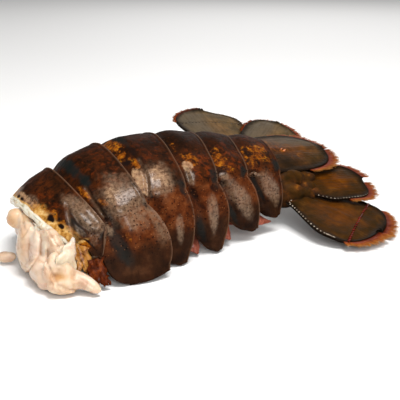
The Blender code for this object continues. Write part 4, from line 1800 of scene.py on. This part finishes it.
@dataclass(frozen=True)
class Underside:
    """The ribbed skin below the meat."""

    start: float = -20.7
    end: float = 58.5
    margin: float = 5.6
    rib: float = 1.5

    def surface(self, first: Array, second: Array) -> Array:
        """The skin: the first number runs to the rear, the second one across.

        Args:
            first: First numbers.
            second: Second numbers.

        Returns:
            Their points.
        """
        x = mix(self.start, self.end, first)
        across = 2.0 * second - 1.0
        half = np.interp(x, [rim.x for rim in RIMS], [rim.half_width for rim in RIMS]) - self.margin
        nearest = np.abs(x[:, None] - np.array([rim.x for rim in RIMS])).min(axis=1)
        rib = self.rib * ridge(nearest, 2.4) * (1.0 - across ** 4)
        return np.stack((x, half * across, underside_height(x) - rib - 0.9 * across * across), axis=-1)

    @staticmethod
    def relief(_first: Array, _second: Array, points: Array) -> Array:
        """Creases across the tail and fine unevenness, in millimetres."""
        return 0.3 * wobble(points * (1.6, 0.5, 1.0), 2.6, 6.0) + 0.1 * wobble(points, 1.2, 7.0)

    def build(self, finish: Material) -> Piece:
        """Make the skin."""
        made = Sheet("belly_skin", self.surface, (150, 70), self.relief, 1.0).build()
        return dress(made, finish, "underside")


# Where each limb's outer leaf ends, and the long inner leaf of the last limb (along, out, up).
OUTER_TIPS = {2: (-10.6, 28.0, 1.4), 3: (5.0, 27.5, 1.4), 4: (21.6, 26.0, 1.4), 5: (37.4, 22.5, 2.7)}
LAST_LIMB = 5
LAST_INNER_TIP = (58.5, 18.0, 4.7)


@dataclass(frozen=True)
class Leaf:
    """One thin pointed leaf of a limb, from its root to its tip, on one side of the tail."""

    root: tuple
    tip: tuple
    wide: float
    side: float

    def surface(self, first: Array, second: Array) -> Array:
        """The leaf: the first number runs to the tip, the second one across.

        Args:
            first: First numbers.
            second: Second numbers.

        Returns:
            Their points.
        """
        root = np.array(self.root)
        line = np.array(self.tip) - root
        width_line = unit(np.array((1.0, 0.0, 0.0)) - unit(line) * unit(line)[0])
        normal = unit(np.cross(line, width_line)) * -self.side
        half = np.maximum(np.sin(math.pi * np.clip(0.12 + 0.88 * first, 0.0, 1.0)), 0.02) ** 0.8
        across = 2.0 * second - 1.0
        notch = 1.0 - 0.1 * np.abs(np.sin(11.0 * first)) * np.abs(across) ** 4
        bend = 1.4 * np.sin(math.pi * first) - 0.7 * across * across
        out = (0.5 * self.wide * half * across * notch)[:, None] * width_line
        return root + first[:, None] * line + out + bend[:, None] * normal

    @staticmethod
    def relief(_first: Array, second: Array, points: Array) -> Array:
        """A rib along the middle and fine unevenness, in millimetres."""
        return 0.15 * wobble(points, 1.8, 3.0) + 0.2 * ridge((2.0 * second - 1.0), 0.15)

    def build(self, name: str) -> Piece:
        """Make the leaf."""
        return Sheet(name, self.surface, (36, 24), self.relief, 0.5).build()


@dataclass(frozen=True)
class Swimmeret:
    """One small limb: a stalk with two thin pointed leaves."""

    number: int
    side: float

    def build(self, finish: Material) -> Piece:
        """Make the limb.

        Args:
            finish: The piece's material.

        Returns:
            The piece.
        """
        rim = RIMS[self.number - 1]
        size = rim.half_width / 28.5
        x = rim.x + 2.0
        mirror = np.array((1.0, self.side, 1.0))
        root = np.array((x, 0.5 * rim.half_width, float(underside_height(x)) - 4.6))
        inner_tip, inner_wide = root + np.array((11.0, 0.5, -3.2)) * size, 7.0 * size
        if self.number == LAST_LIMB:
            inner_tip, inner_wide = LAST_INNER_TIP, 9.0
        start = tuple(root * mirror)
        made = [ellipsoid(start, (2.4, 2.2, 1.7), (0.0, 0.0, 1.0))]
        for tip, wide in ((OUTER_TIPS[self.number], 11.0 * size), (inner_tip, inner_wide)):
            made.append(Leaf(start, tuple(tip * mirror), wide, self.side).build("leaf"))
        word = "left" if self.side < 0 else "right"
        made = join(made, f"limb_{self.number}_{word}")
        smooth(made)
        return dress(made, finish, f"swimmeret_{self.number}_{word}")


# Tail fan


def fan_height(y: Array) -> Array:
    """Height of the fan's plane, which is rolled so that the near side is low."""
    slope = mix(NEAR_FAN_SLOPE, FAR_FAN_SLOPE, ease(-8.0, 16.0, y))
    return FAN_HEIGHT + slope * y


@dataclass(frozen=True)
class Blade:
    """One blade of the tail fan, laid out in the fan's own plane."""

    name: str
    base: tuple
    heading_deg: float
    length: float
    width: float
    lift: float
    camber: float
    lean: float = 0.0
    root: float = 0.6
    broadest: float = 0.55
    round_from: float = 0.6
    joint: float = 0.0
    tilt: float = 0.0
    joint_skew: float = 0.0
    tone: float = 0.0
    hair_reach: float = 3.6
    hair_start: float = 0.6
    keel: float = 0.5
    rust_to: float = 0.05
    border_width: float = 3.4
    grey_side: float = 0.0
    black_root: float = 0.0

    @property
    def forward(self) -> Array:
        """Direction along the blade."""
        heading = math.radians(self.heading_deg)
        return np.array((math.cos(heading), math.sin(heading)))

    @property
    def left(self) -> Array:
        """Direction across the blade."""
        return np.array((-self.forward[1], self.forward[0]))

    def half_width(self, ratio: Array) -> Array:
        """Half of the width along the length: a narrow root and a broad round end.

        Args:
            ratio: Places along the blade, from 0 to 1.

        Returns:
            Half widths in millimetres.
        """
        root = mix(self.root, 1.0, ease(-0.1, self.broadest, ratio))
        turn = np.clip((ratio - self.round_from) / (1.0 - self.round_from), 0.0, 1.0)
        return 0.5 * self.width * root * np.maximum(np.sqrt(1.0 - turn ** 2.4), 0.04)

    def place(self, ratio: Array, across: Array) -> Array:
        """Points of the blade's upper face.

        Args:
            ratio: Places along the blade, from 0 to 1.
            across: Places across the blade, from -1 to 1.

        Returns:
            Their points.
        """
        half = self.half_width(ratio)
        x = self.base[0] + self.forward[0] * self.length * ratio + self.left[0] * half * across
        y = self.base[1] + self.forward[1] * self.length * ratio + self.left[1] * half * across
        rise = self.camber * (1.0 - across * across) * (1.0 - 0.6 * ratio)
        z = fan_height(y) + self.lift + rise + self.lean * (1.0 - ratio) + self.tilt * across
        return np.stack((x, y, z), axis=-1)

    def ratios(self, first: Array, across: Array, start: float, finish: float) -> Array:
        """Spread the first number over a stretch of the blade, denser toward its end.

        Args:
            first: First numbers.
            across: Places across the blade, from -1 to 1.
            start: Where the stretch starts, between 0 and 1.
            finish: Where it ends, between 0 and 1.

        Returns:
            Places along the whole blade.
        """
        low = start + (self.joint_skew * across if start > 0.0 else 0.0)
        high = finish + (self.joint_skew * across if finish < 1.0 else 0.0)
        spread = 1.0 - (1.0 - first) ** 1.6 if finish >= 1.0 else first
        return mix(low, high, spread)

    def edge_distance(self, ratio: Array, across: Array) -> Array:
        """Distance in millimetres from the blade's outline, roughly.

        Args:
            ratio: Places along the blade, from 0 to 1.
            across: Places across the blade, from -1 to 1.

        Returns:
            One distance for each place.
        """
        side = (1.0 - np.abs(across)) * self.half_width(ratio)
        end = (1.0 - ratio) * self.length * (1.0 - 0.35 * np.abs(across))
        return np.minimum(side, end)

    def build(self, finish: Material, hair: Material) -> list[Piece]:
        """Make the blade, its end plate behind the joint where it has one, and its hair.

        Args:
            finish: The material of the plates.
            hair: The material of the hair.

        Returns:
            The plates and the hair.
        """
        first_end = self.joint or 1.0
        plate = BladePart(self, f"{self.name}_plate", 0.0, first_end).build()
        made = [dress(plate, finish, self.name)]
        if self.joint:
            behind = first_end + JOINT_GAP / self.length
            end_plate = BladePart(self, f"{self.name}_end_plate", behind, 1.0).build()
            made.append(dress(end_plate, finish, f"{self.name}_tip"))
        return made + [BladeHair(self).build(hair)]


@dataclass(frozen=True)
class BladePart:
    """One stretch of a blade, from a start to an end between 0 and 1 of its length."""

    blade: Blade
    name: str
    start: float
    end: float

    def spot(self, first: Array, second: Array) -> tuple[Array, Array]:
        """Place along and across the blade for two numbers between 0 and 1."""
        across = 2.0 * second - 1.0
        return self.blade.ratios(first, across, self.start, self.end), across

    def surface(self, first: Array, second: Array) -> Array:
        """The upper face: the first number runs to the end, the second one across."""
        return self.blade.place(*self.spot(first, second))

    def relief(self, first: Array, second: Array, points: Array) -> Array:
        """Keel, ribs and raised lip.

        Args:
            first: First numbers.
            second: Second numbers.
            points: Layout points.

        Returns:
            One height for each point.
        """
        ratio, across = self.spot(first, second)
        side = across * self.blade.half_width(ratio)
        edge = self.blade.edge_distance(ratio, across)
        keel = self.blade.keel * ridge(side, 1.4) * (1.0 - ratio)
        ribs = 0.035 * np.sin(side * 4.2 + 1.5 * wobble(points, 6.0, 9.0))
        lip = 0.12 * ridge(edge - 0.5, 0.6) - 0.3 * ridge(edge - 2.6, 1.6)
        return keel + ribs * ease(0.9, 2.0, edge) + lip + 0.2 * wobble(points, 5.0, 8.0)

    def colours(self, first: Array, second: Array, points: Array) -> dict:
        """Border, streaks along the blade, and the greyer tone of the far blades.

        Args:
            first: First numbers.
            second: Second numbers.
            points: Layout points.

        Returns:
            Channels by attribute name.
        """
        blade = self.blade
        ratio, across = self.spot(first, second)
        edge = blade.edge_distance(ratio, across)
        whole = np.full(len(ratio), 1.0)
        flat = (ratio * blade.length * 0.12, across * blade.half_width(ratio) * 1.3, whole * blade.width)
        streak = ease(0.0, 0.5, wobble(np.column_stack(flat), 1.0, 2.0, 2))
        border = ease(blade.border_width, 0.3, edge + 0.6 * wobble(points, 2.0, 3.0))
        root = ease(blade.rust_to, 0.4 * blade.rust_to, ratio + 0.1 * wobble(points, 5.0, 4.0))
        from_middle = np.hypot((ratio - 0.5) / 0.42, across / 0.75)
        warm = ease(1.0, 0.2, from_middle + 0.2 * wobble(points, 4.0, 5.0))
        upper = ease(-0.2, 0.4, across * blade.grey_side + 0.2 * wobble(points, 5.0, 6.0))
        if blade.black_root:
            lower = ease(0.1, -0.5, across + 0.25 * wobble(points, 4.0, 7.0))
            dark_root = ridge(ratio - 0.22, 0.2) * lower
            border = np.maximum(border, blade.black_root * dark_root)
            root = root * (1.0 - 0.6 * ease(0.0, 0.5, across)) * (1.0 - dark_root)
        grey = min(1.0, blade.grey_side) * upper
        return {"blade": (border, streak, whole * blade.tone), "stain": (root, warm, grey)}

    def build(self) -> Piece:
        """Make the stretch."""
        return Sheet(self.name, self.surface, (70, 60), self.relief, BLADE_THICKNESS).build(self.colours)


@dataclass(frozen=True)
class BladeHair:
    """The dense fringe of hair around a blade's end."""

    blade: Blade
    count: int = 620
    root_width: float = 0.3
    layers: int = 2

    def outline(self, travel: Array) -> tuple[Array, Array]:
        """Ratio and side of the blade's outline for a travel of -1 to 1 around its end."""
        ratio = 1.0 - (1.0 - self.blade.hair_start) * np.abs(travel) ** 2.2
        return ratio, np.sign(travel)

    def outward(self, travel: float) -> Array:
        """Direction away from the blade, square to its outline.

        Args:
            travel: A place around the blade's end, from -1 to 1.

        Returns:
            A unit vector.
        """
        ends = []
        for place in (travel - 0.02, travel + 0.02):
            ratio, side = self.outline(np.array(place))
            ends.append(self.blade.place(np.minimum(ratio, 0.999), side * np.ones(())).reshape(3))
        line = ends[1] - ends[0]
        away = unit(np.array((line[1], -line[0], 0.0)) + 1e-9)
        middle = np.array((*(np.array(self.blade.base) + self.blade.forward * self.blade.length * 0.5), 0.0))
        return away if away[:2] @ (ends[0] - middle)[:2] > 0.0 else -away

    def strand(self, root: Array, ray: Array, length: float, dip: float, width: float) -> tuple[Array, list]:
        """Points and faces of one bent, tapered, three-sided hair.

        Args:
            root: Where the hair starts.
            ray: The way that it grows.
            length: Its length in millimetres.
            dip: How far its tip hangs, in millimetres.
            width: Its width at the root, in millimetres.

        Returns:
            Its nine points and its faces.
        """
        ray = unit(ray)
        side = unit(np.cross(ray, (0.0, 0.0, 1.0)))
        up = np.cross(side, ray)
        rings = []
        for step, taper in ((0.0, 1.0), (0.5, 0.8), (1.0, 0.12)):
            middle = root + ray * length * step - np.array((0.0, 0.0, dip)) * step * step
            for corner in range(3):
                turn = math.tau * corner / 3.0
                out = side * math.cos(turn) + up * math.sin(turn) * 0.6
                rings.append(middle + out * width * 0.5 * taper)
        faces = [(0, 2, 1), (6, 7, 8)]
        for ring in (0, 3):
            for index in range(3):
                after = (index + 1) % 3
                faces.append((ring + index, ring + after, ring + 3 + after, ring + 3 + index))
        return np.array(rings), faces

    def build(self, finish: Material) -> Piece:
        """Make every hair of the fringe as one piece.

        Args:
            finish: The piece's material.

        Returns:
            The piece.
        """
        blade = self.blade
        chance = np.random.default_rng(int(blade.length * 10))
        forward = np.array((*blade.forward, 0.0))
        points, faces, along, shade = [], [], [], []
        for layer in range(self.layers):
            for index in range(self.count):
                travel = -1.0 + 2.0 * (index + chance.uniform(-0.5, 0.5)) / (self.count - 1)
                travel = float(np.clip(travel, -1.0, 1.0))
                ratio, side = self.outline(np.array(travel))
                root = blade.place(np.minimum(ratio, 0.999), side * np.ones(())).reshape(3)
                ray = self.outward(travel) + 0.45 * forward
                ray[2] = 0.0
                ray = unit(ray)
                root = root - ray * 0.6 - np.array((0.0, 0.0, 0.3 + 0.3 * layer))
                ray = ray + 0.09 * chance.standard_normal(3) * (1.0, 1.0, 0.4)
                ray[2] += 0.1 * float(fan_height(root[1] + ray[1]) - fan_height(root[1]))
                clump = 0.82 + 0.18 * math.sin(index * 0.21) * math.sin(index * 0.083 + 1.0)
                reach = (blade.hair_reach + 1.0) * clump * (1.0 - 0.45 * travel ** 4)
                reach = reach * chance.uniform(0.78, 1.08)
                rings, made = self.strand(root, ray, reach, chance.uniform(0.0, 0.5), self.root_width)
                start = len(points) * 9
                points.append(rings)
                faces.extend([tuple(start + corner for corner in face) for face in made])
                along.extend([0.0] * 3 + [0.5] * 3 + [1.0] * 3)
                shade.extend([chance.uniform(0.0, 1.0)] * 9)
        item = mesh_from(f"{blade.name}_hair", np.concatenate(points), faces)
        paint(item, "hair", (np.array(along), np.array(shade), np.zeros(len(along))))
        smooth(item)
        return dress(item, finish, f"{blade.name}_fringe")


BLADES = (
    Blade(
        "telson", (66.0, 2.1), 7.8, 35.6, 26.5, 2.6, 3.1, lean=3.5, root=0.9, broadest=0.24, round_from=0.37,
        tone=0.15, hair_reach=5.4, hair_start=0.45, keel=0.9, rust_to=0.62, border_width=4.6,
        grey_side=0.9, black_root=0.9,
    ),
    Blade(
        "endopod_left", (78.3, -11.2), -6.4, 28.0, 22.2, -0.4, 1.0, root=0.37, broadest=0.37, round_from=0.74,
        tilt=0.9, hair_reach=4.8, hair_start=0.55, rust_to=0.2,
    ),
    Blade(
        "endopod_right", (72.0, 13.0), 40.0, 34.0, 24.0, -1.8, 1.4,
        tone=0.8, hair_reach=3.8, hair_start=0.52, grey_side=1.0,
    ),
    Blade(
        "exopod_left", (73.9, -12.6), -63.0, 36.4, 37.0, -3.5, 1.2, root=0.41, broadest=0.6, round_from=0.66,
        joint=0.74, tilt=-0.9, joint_skew=-0.1, hair_reach=5.6, hair_start=0.8,
    ),
    Blade(
        "exopod_right", (66.0, 18.0), 84.0, 38.0, 33.0, -4.4, 1.2, root=0.36, broadest=0.85, round_from=0.66,
        joint=0.72, tilt=1.2, tone=0.75, hair_reach=2.8, hair_start=0.76, grey_side=1.0,
    ),
)


@dataclass(frozen=True)
class Protopod:
    """The stub that carries a pair of side blades, with the joints at their roots."""

    side: float
    lobes: tuple = (
        ((69.6, 12.4, -2.4), (3.4, 5.4, 7.2), (0.8, 0.5, 0.1)),
        ((73.4, 9.2, 1.9), (3.4, 3.8, 7.0), (1.0, 0.1, -0.1)),
        ((79.4, 9.2, 1.3), (2.5, 3.0, 6.0), (1.0, 0.15, -0.05)),
        ((76.4, 14.6, -2.4), (2.2, 3.6, 4.6), (0.8, 0.6, 0.0)),
        ((79.2, 12.4, -1.4), (2.0, 3.2, 4.4), (0.9, 0.4, 0.0)),
    )

    def build(self, finish: Material) -> Piece:
        """Make the stub.

        Args:
            finish: The piece's material.

        Returns:
            The piece.
        """
        pieces = []
        for (x, y, lift), radii, direction in self.lobes:
            y *= self.side
            toward = (direction[0], direction[1] * self.side, direction[2])
            pieces.append(ellipsoid((x, y, float(fan_height(np.array(y))) + lift), radii, toward))
        word = "left" if self.side < 0 else "right"
        made = join(pieces, f"fan_stub_{word}")
        apply_modifier(made, "REMESH", mode="VOXEL", voxel_size=0.5 * MM)
        apply_modifier(made, "SMOOTH", factor=0.5, iterations=4)
        points = points_of(made) / MM - LAYOUT_SHIFT
        outward = unit(points - points.mean(axis=0))
        swell = 0.4 * wobble(points, 4.0, 11.0) + 0.18 * wobble(points, 1.6, 12.0)
        points = points + outward * swell[:, None]
        zero = np.zeros(len(points))
        # Painted shade: the stub's down-facing side and its creases get the blades' dark border colour.
        crease_shade = hollows(made, 10)
        dark = np.maximum(0.8 * ease(-0.1, -0.8, outward[:, 2]), crease_shade)
        paint(made, "blade", (dark, ease(0.0, 0.5, wobble(points, 1.6, 13.0)), zero))
        paint(made, "stain", (0.45 * ease(-0.3, 0.5, wobble(points, 4.0, 14.0)), zero, zero))
        move_points(made, to_scene(points))
        smooth(made)
        return dress(made, finish, f"protopod_{word}")


@dataclass(frozen=True)
class EdgeStuds:
    """A row of small studs or spines along a path on a blade."""

    name: str
    blade: Blade
    path: tuple
    count: int
    size: float
    spike: float = 0.0

    def middles(self) -> Array:
        """Where the studs stand: evenly along the path, on the blade's upper face.

        Returns:
            One point for each stud.
        """
        places = np.array(self.path)
        spots = np.linspace(0.0, len(places) - 1.0, self.count)
        ratio = np.interp(spots, np.arange(len(places)), places[:, 0])
        across = np.interp(spots, np.arange(len(places)), places[:, 1])
        return self.blade.place(ratio, across)

    @staticmethod
    def stud(size: float, forward: Array) -> Array:
        """Points of one stud around its middle: two rings of six, then the top, drawn forward.

        Args:
            size: Radius in millimetres.
            forward: How far the top leans out, in millimetres.

        Returns:
            Thirteen points.
        """
        points = []
        for level, (radius, height) in enumerate(((1.0, -0.3), (0.8, 0.45))):
            for step in range(6):
                angle = math.pi * (step + 0.5 * level) / 3.0
                points.append((math.cos(angle) * radius, math.sin(angle) * radius, height))
        points.append((0.0, 0.0, 0.75))
        block = np.array(points) * size
        block[12] += forward
        block[6:12] += 0.35 * forward
        return block

    @staticmethod
    def stud_faces(start: int) -> list:
        """Faces of the stud whose first point has the number start.

        Args:
            start: Number of the first point.

        Returns:
            The numbers of each face's points.
        """
        faces = [tuple(start + 5 - step for step in range(6))]
        for step in range(6):
            after = (step + 1) % 6
            faces.append((start + step, start + after, start + 6 + after, start + 6 + step))
            faces.append((start + 6 + step, start + 6 + after, start + 12))
        return faces

    def build(self, finish: Material) -> Piece:
        """Make the row: each stud is a low dome, drawn out into a point where spike is set.

        Args:
            finish: The piece's material.

        Returns:
            The piece.
        """
        chance = np.random.default_rng(self.count)
        heading = math.radians(self.blade.heading_deg)
        points, faces = [], []
        for middle in self.middles():
            size = self.size * chance.uniform(0.75, 1.15)
            reach = self.spike * chance.uniform(0.7, 1.1)
            faces.extend(self.stud_faces(len(points) * 13))
            forward = np.array((math.cos(heading), math.sin(heading), 0.15)) * reach
            points.append(self.stud(size, forward) + middle)
        item = mesh_from(self.name, np.concatenate(points), faces)
        smooth(item)
        return dress(item, finish)


# Light, floor and camera


@dataclass(frozen=True)
class Studio:
    """A pale floor, soft lights and the camera at the photograph's angle."""

    azimuth_deg: float = -30.112
    elevation_deg: float = 17.922
    distance: float = 0.34755
    focal_px: float = 894.74
    target_mm: tuple = (36.648, -0.969, 12.046)

    def back(self) -> Vector:
        """Direction from the object to the camera.

        Returns:
            A unit vector.
        """
        azimuth = math.radians(self.azimuth_deg)
        elevation = math.radians(self.elevation_deg)
        return Vector((
            math.sin(azimuth) * math.cos(elevation),
            -math.cos(azimuth) * math.cos(elevation),
            math.sin(elevation),
        ))

    def picture(self, points: Array) -> Array:
        """Where layout points fall in the picture, in millimetres across and up at the target's distance.

        Args:
            points: Layout points.

        Returns:
            One pair for each point.
        """
        back = np.array(self.back())
        right = unit(np.cross((0.0, 0.0, 1.0), back))
        span = self.distance / MM
        away = points - np.array(self.target_mm) - back * span
        depth = -(away @ back)
        return np.column_stack((away @ right, away @ np.cross(back, right))) * (span / depth)[:, None]

    def add_camera(self) -> None:
        """Add the camera and make it the scene's."""
        data = bpy.data.cameras.new("view")
        data.sensor_width = SENSOR_MM
        data.lens = self.focal_px / IMAGE_PX * SENSOR_MM
        data.clip_start = 0.01
        camera = bpy.data.objects.new("view", data)
        bpy.context.scene.collection.objects.link(camera)
        camera.location = Vector(to_scene(np.array(self.target_mm))) + self.back() * self.distance
        camera.rotation_euler = (-self.back()).to_track_quat("-Z", "Y").to_euler()
        bpy.context.scene.camera = camera

    def add_floor(self) -> None:
        """Add the pale floor that the tail lies on."""
        deselect()
        bpy.ops.mesh.primitive_plane_add(size=6.0, location=(0.0, 0.0, -0.0002))
        floor = bpy.context.active_object
        floor.name = "floor"
        made, wires, shader = new_material("floor_finish")
        cloud = wires.clouds(wires.place(), 0.002, 2.0)
        wires.fill(shader, {
            "Base Color": wires.ramp(cloud, [(0.0, "f2f1ef"), (1.0, "f6f5f4")]),
            "Roughness": 0.6,
        })
        floor.data.materials.append(made)

    @staticmethod
    def add_light(name: str, place: tuple, aim: tuple, size: float, power: float) -> None:
        """Add one soft square light that points at a place.

        Args:
            name: The light's name.
            place: Where it is, in metres.
            aim: Where it points, in metres.
            size: Width of the square in metres.
            power: Power in watts.
        """
        data = bpy.data.lights.new(name, "AREA")
        data.shape = "SQUARE"
        data.size = size
        data.energy = power
        light = bpy.data.objects.new(name, data)
        bpy.context.scene.collection.objects.link(light)
        light.location = place
        light.rotation_euler = (Vector(aim) - Vector(place)).to_track_quat("-Z", "Y").to_euler()

    def build(self) -> None:
        """Make the whole studio."""
        self.add_camera()
        self.add_floor()
        middle = (0.0, 0.0, 0.02)
        self.add_light("top_light", (-0.01, -0.22, 0.70), middle, 0.34, 6.0)
        self.add_light("near_light", (-0.35, -0.95, 0.50), middle, 0.5, 6.0)
        self.add_light("far_light", (0.5, 0.6, 0.45), middle, 0.5, 1.5)
        world = bpy.data.worlds.new("studio")
        world.use_nodes = True
        world.node_tree.nodes["Background"].inputs[0].default_value = (1.0, 1.0, 1.0, 1.0)
        world.node_tree.nodes["Background"].inputs[1].default_value = 0.3
        bpy.context.scene.world = world
        bpy.context.scene.view_settings.view_transform = "Standard"


def report(item: Piece) -> None:
    """Log a finished piece."""
    LOG.info("%s: %d faces", item.name, len(item.data.polygons))


def stud_rows(effects: Effects) -> list[tuple[EdgeStuds, Material]]:
    """The rows of studs and spines, each with its finish.

    Args:
        effects: The shared groups.

    Returns:
        Pairs of a row and its finish.
    """
    telson, near_inner, _, near_outer, far_outer = BLADES
    # The studs are real; their pale colour is a painted highlight on each stud.
    pale = LimbFinish("pale_stud_highlight_finish", "8f7a66", "d9cbb8", "b5a18b", 0.4).build(effects)
    red = LimbFinish("spine_finish", "4d0f0b", "8d2a1c", "6b1a12").build(effects)
    orange = LimbFinish("telson_spine_finish", "8a3a10", "cf7a32", "b05a1e", 0.3).build(effects)
    dark = LimbFinish("dark_spine_finish", "1c120c", "4a3524", "2e2016").build(effects)
    outer_edge = ((0.06, -0.97), (0.3, -0.97), (0.6, -0.97), (0.7, -0.97))
    inner_edge = ((0.12, -0.95), (0.5, -0.96), (0.88, -0.96))
    near_joint = ((0.64, 0.96), (0.735, 0.0), (0.83, -0.96))
    return [
        (EdgeStuds("outer_edge_studs", near_outer, outer_edge, 21, 0.33), pale),
        (EdgeStuds("inner_edge_studs", near_inner, inner_edge, 17, 0.28), pale),
        (EdgeStuds("root_studs", near_outer, ((0.04, 0.9), (0.02, 0.0), (0.04, -0.9)), 12, 0.28), pale),
        (EdgeStuds("near_joint_spines", near_outer, near_joint, 20, 0.55, 1.5), red),
        (EdgeStuds("far_joint_spines", far_outer, ((0.71, 0.96), (0.71, -0.96)), 20, 0.3, 0.7), dark),
        (EdgeStuds("telson_spines", telson, ((0.3, -0.05), (0.33, -0.12)), 2, 0.7, 1.6), orange),
    ]


def main() -> None:
    """Build every piece in order."""
    logging.basicConfig(level=logging.INFO, format="%(message)s")
    effects = Effects()
    shell = ShellFinish().build(effects)
    for index in range(len(FLAPS)):
        report(ShellRing(index).build(shell))
    for made in Meat().build(MeatFinish().build(effects)):
        report(made)
    membrane = MembraneFinish().build(effects)
    tissue = MembraneFinish("tissue_finish", "a06c2c", "65330e", 0.3, 0.2).build(effects)
    skin = MembraneFinish("underside_finish", "b58d68", "6d4026", 0.15).build(effects)
    leaf = LimbFinish("leaf_finish", "2c0f04", "763612", "471a06", 0.03).build(effects)
    limb = LimbFinish().build(effects)
    blade = BladeFinish().build(effects)
    hair = HairFinish().build()
    report(Membrane().build(membrane))
    report(TORN_TISSUE.build(tissue, "torn_skin", "meat"))
    report(TORN_LEAF.build(leaf, "front_leaf", "swimmeret"))
    report(Underside().build(skin))
    for number in OUTER_TIPS:
        for side in (-1.0, 1.0):
            report(Swimmeret(number, side).build(limb))
    for shape in BLADES:
        for made in shape.build(blade, hair):
            report(made)
    for side in (-1.0, 1.0):
        report(Protopod(side).build(blade))
    for row, finish in stud_rows(effects):
        report(row.build(finish))
    Studio().build()


if __name__ == "__main__":
    main()
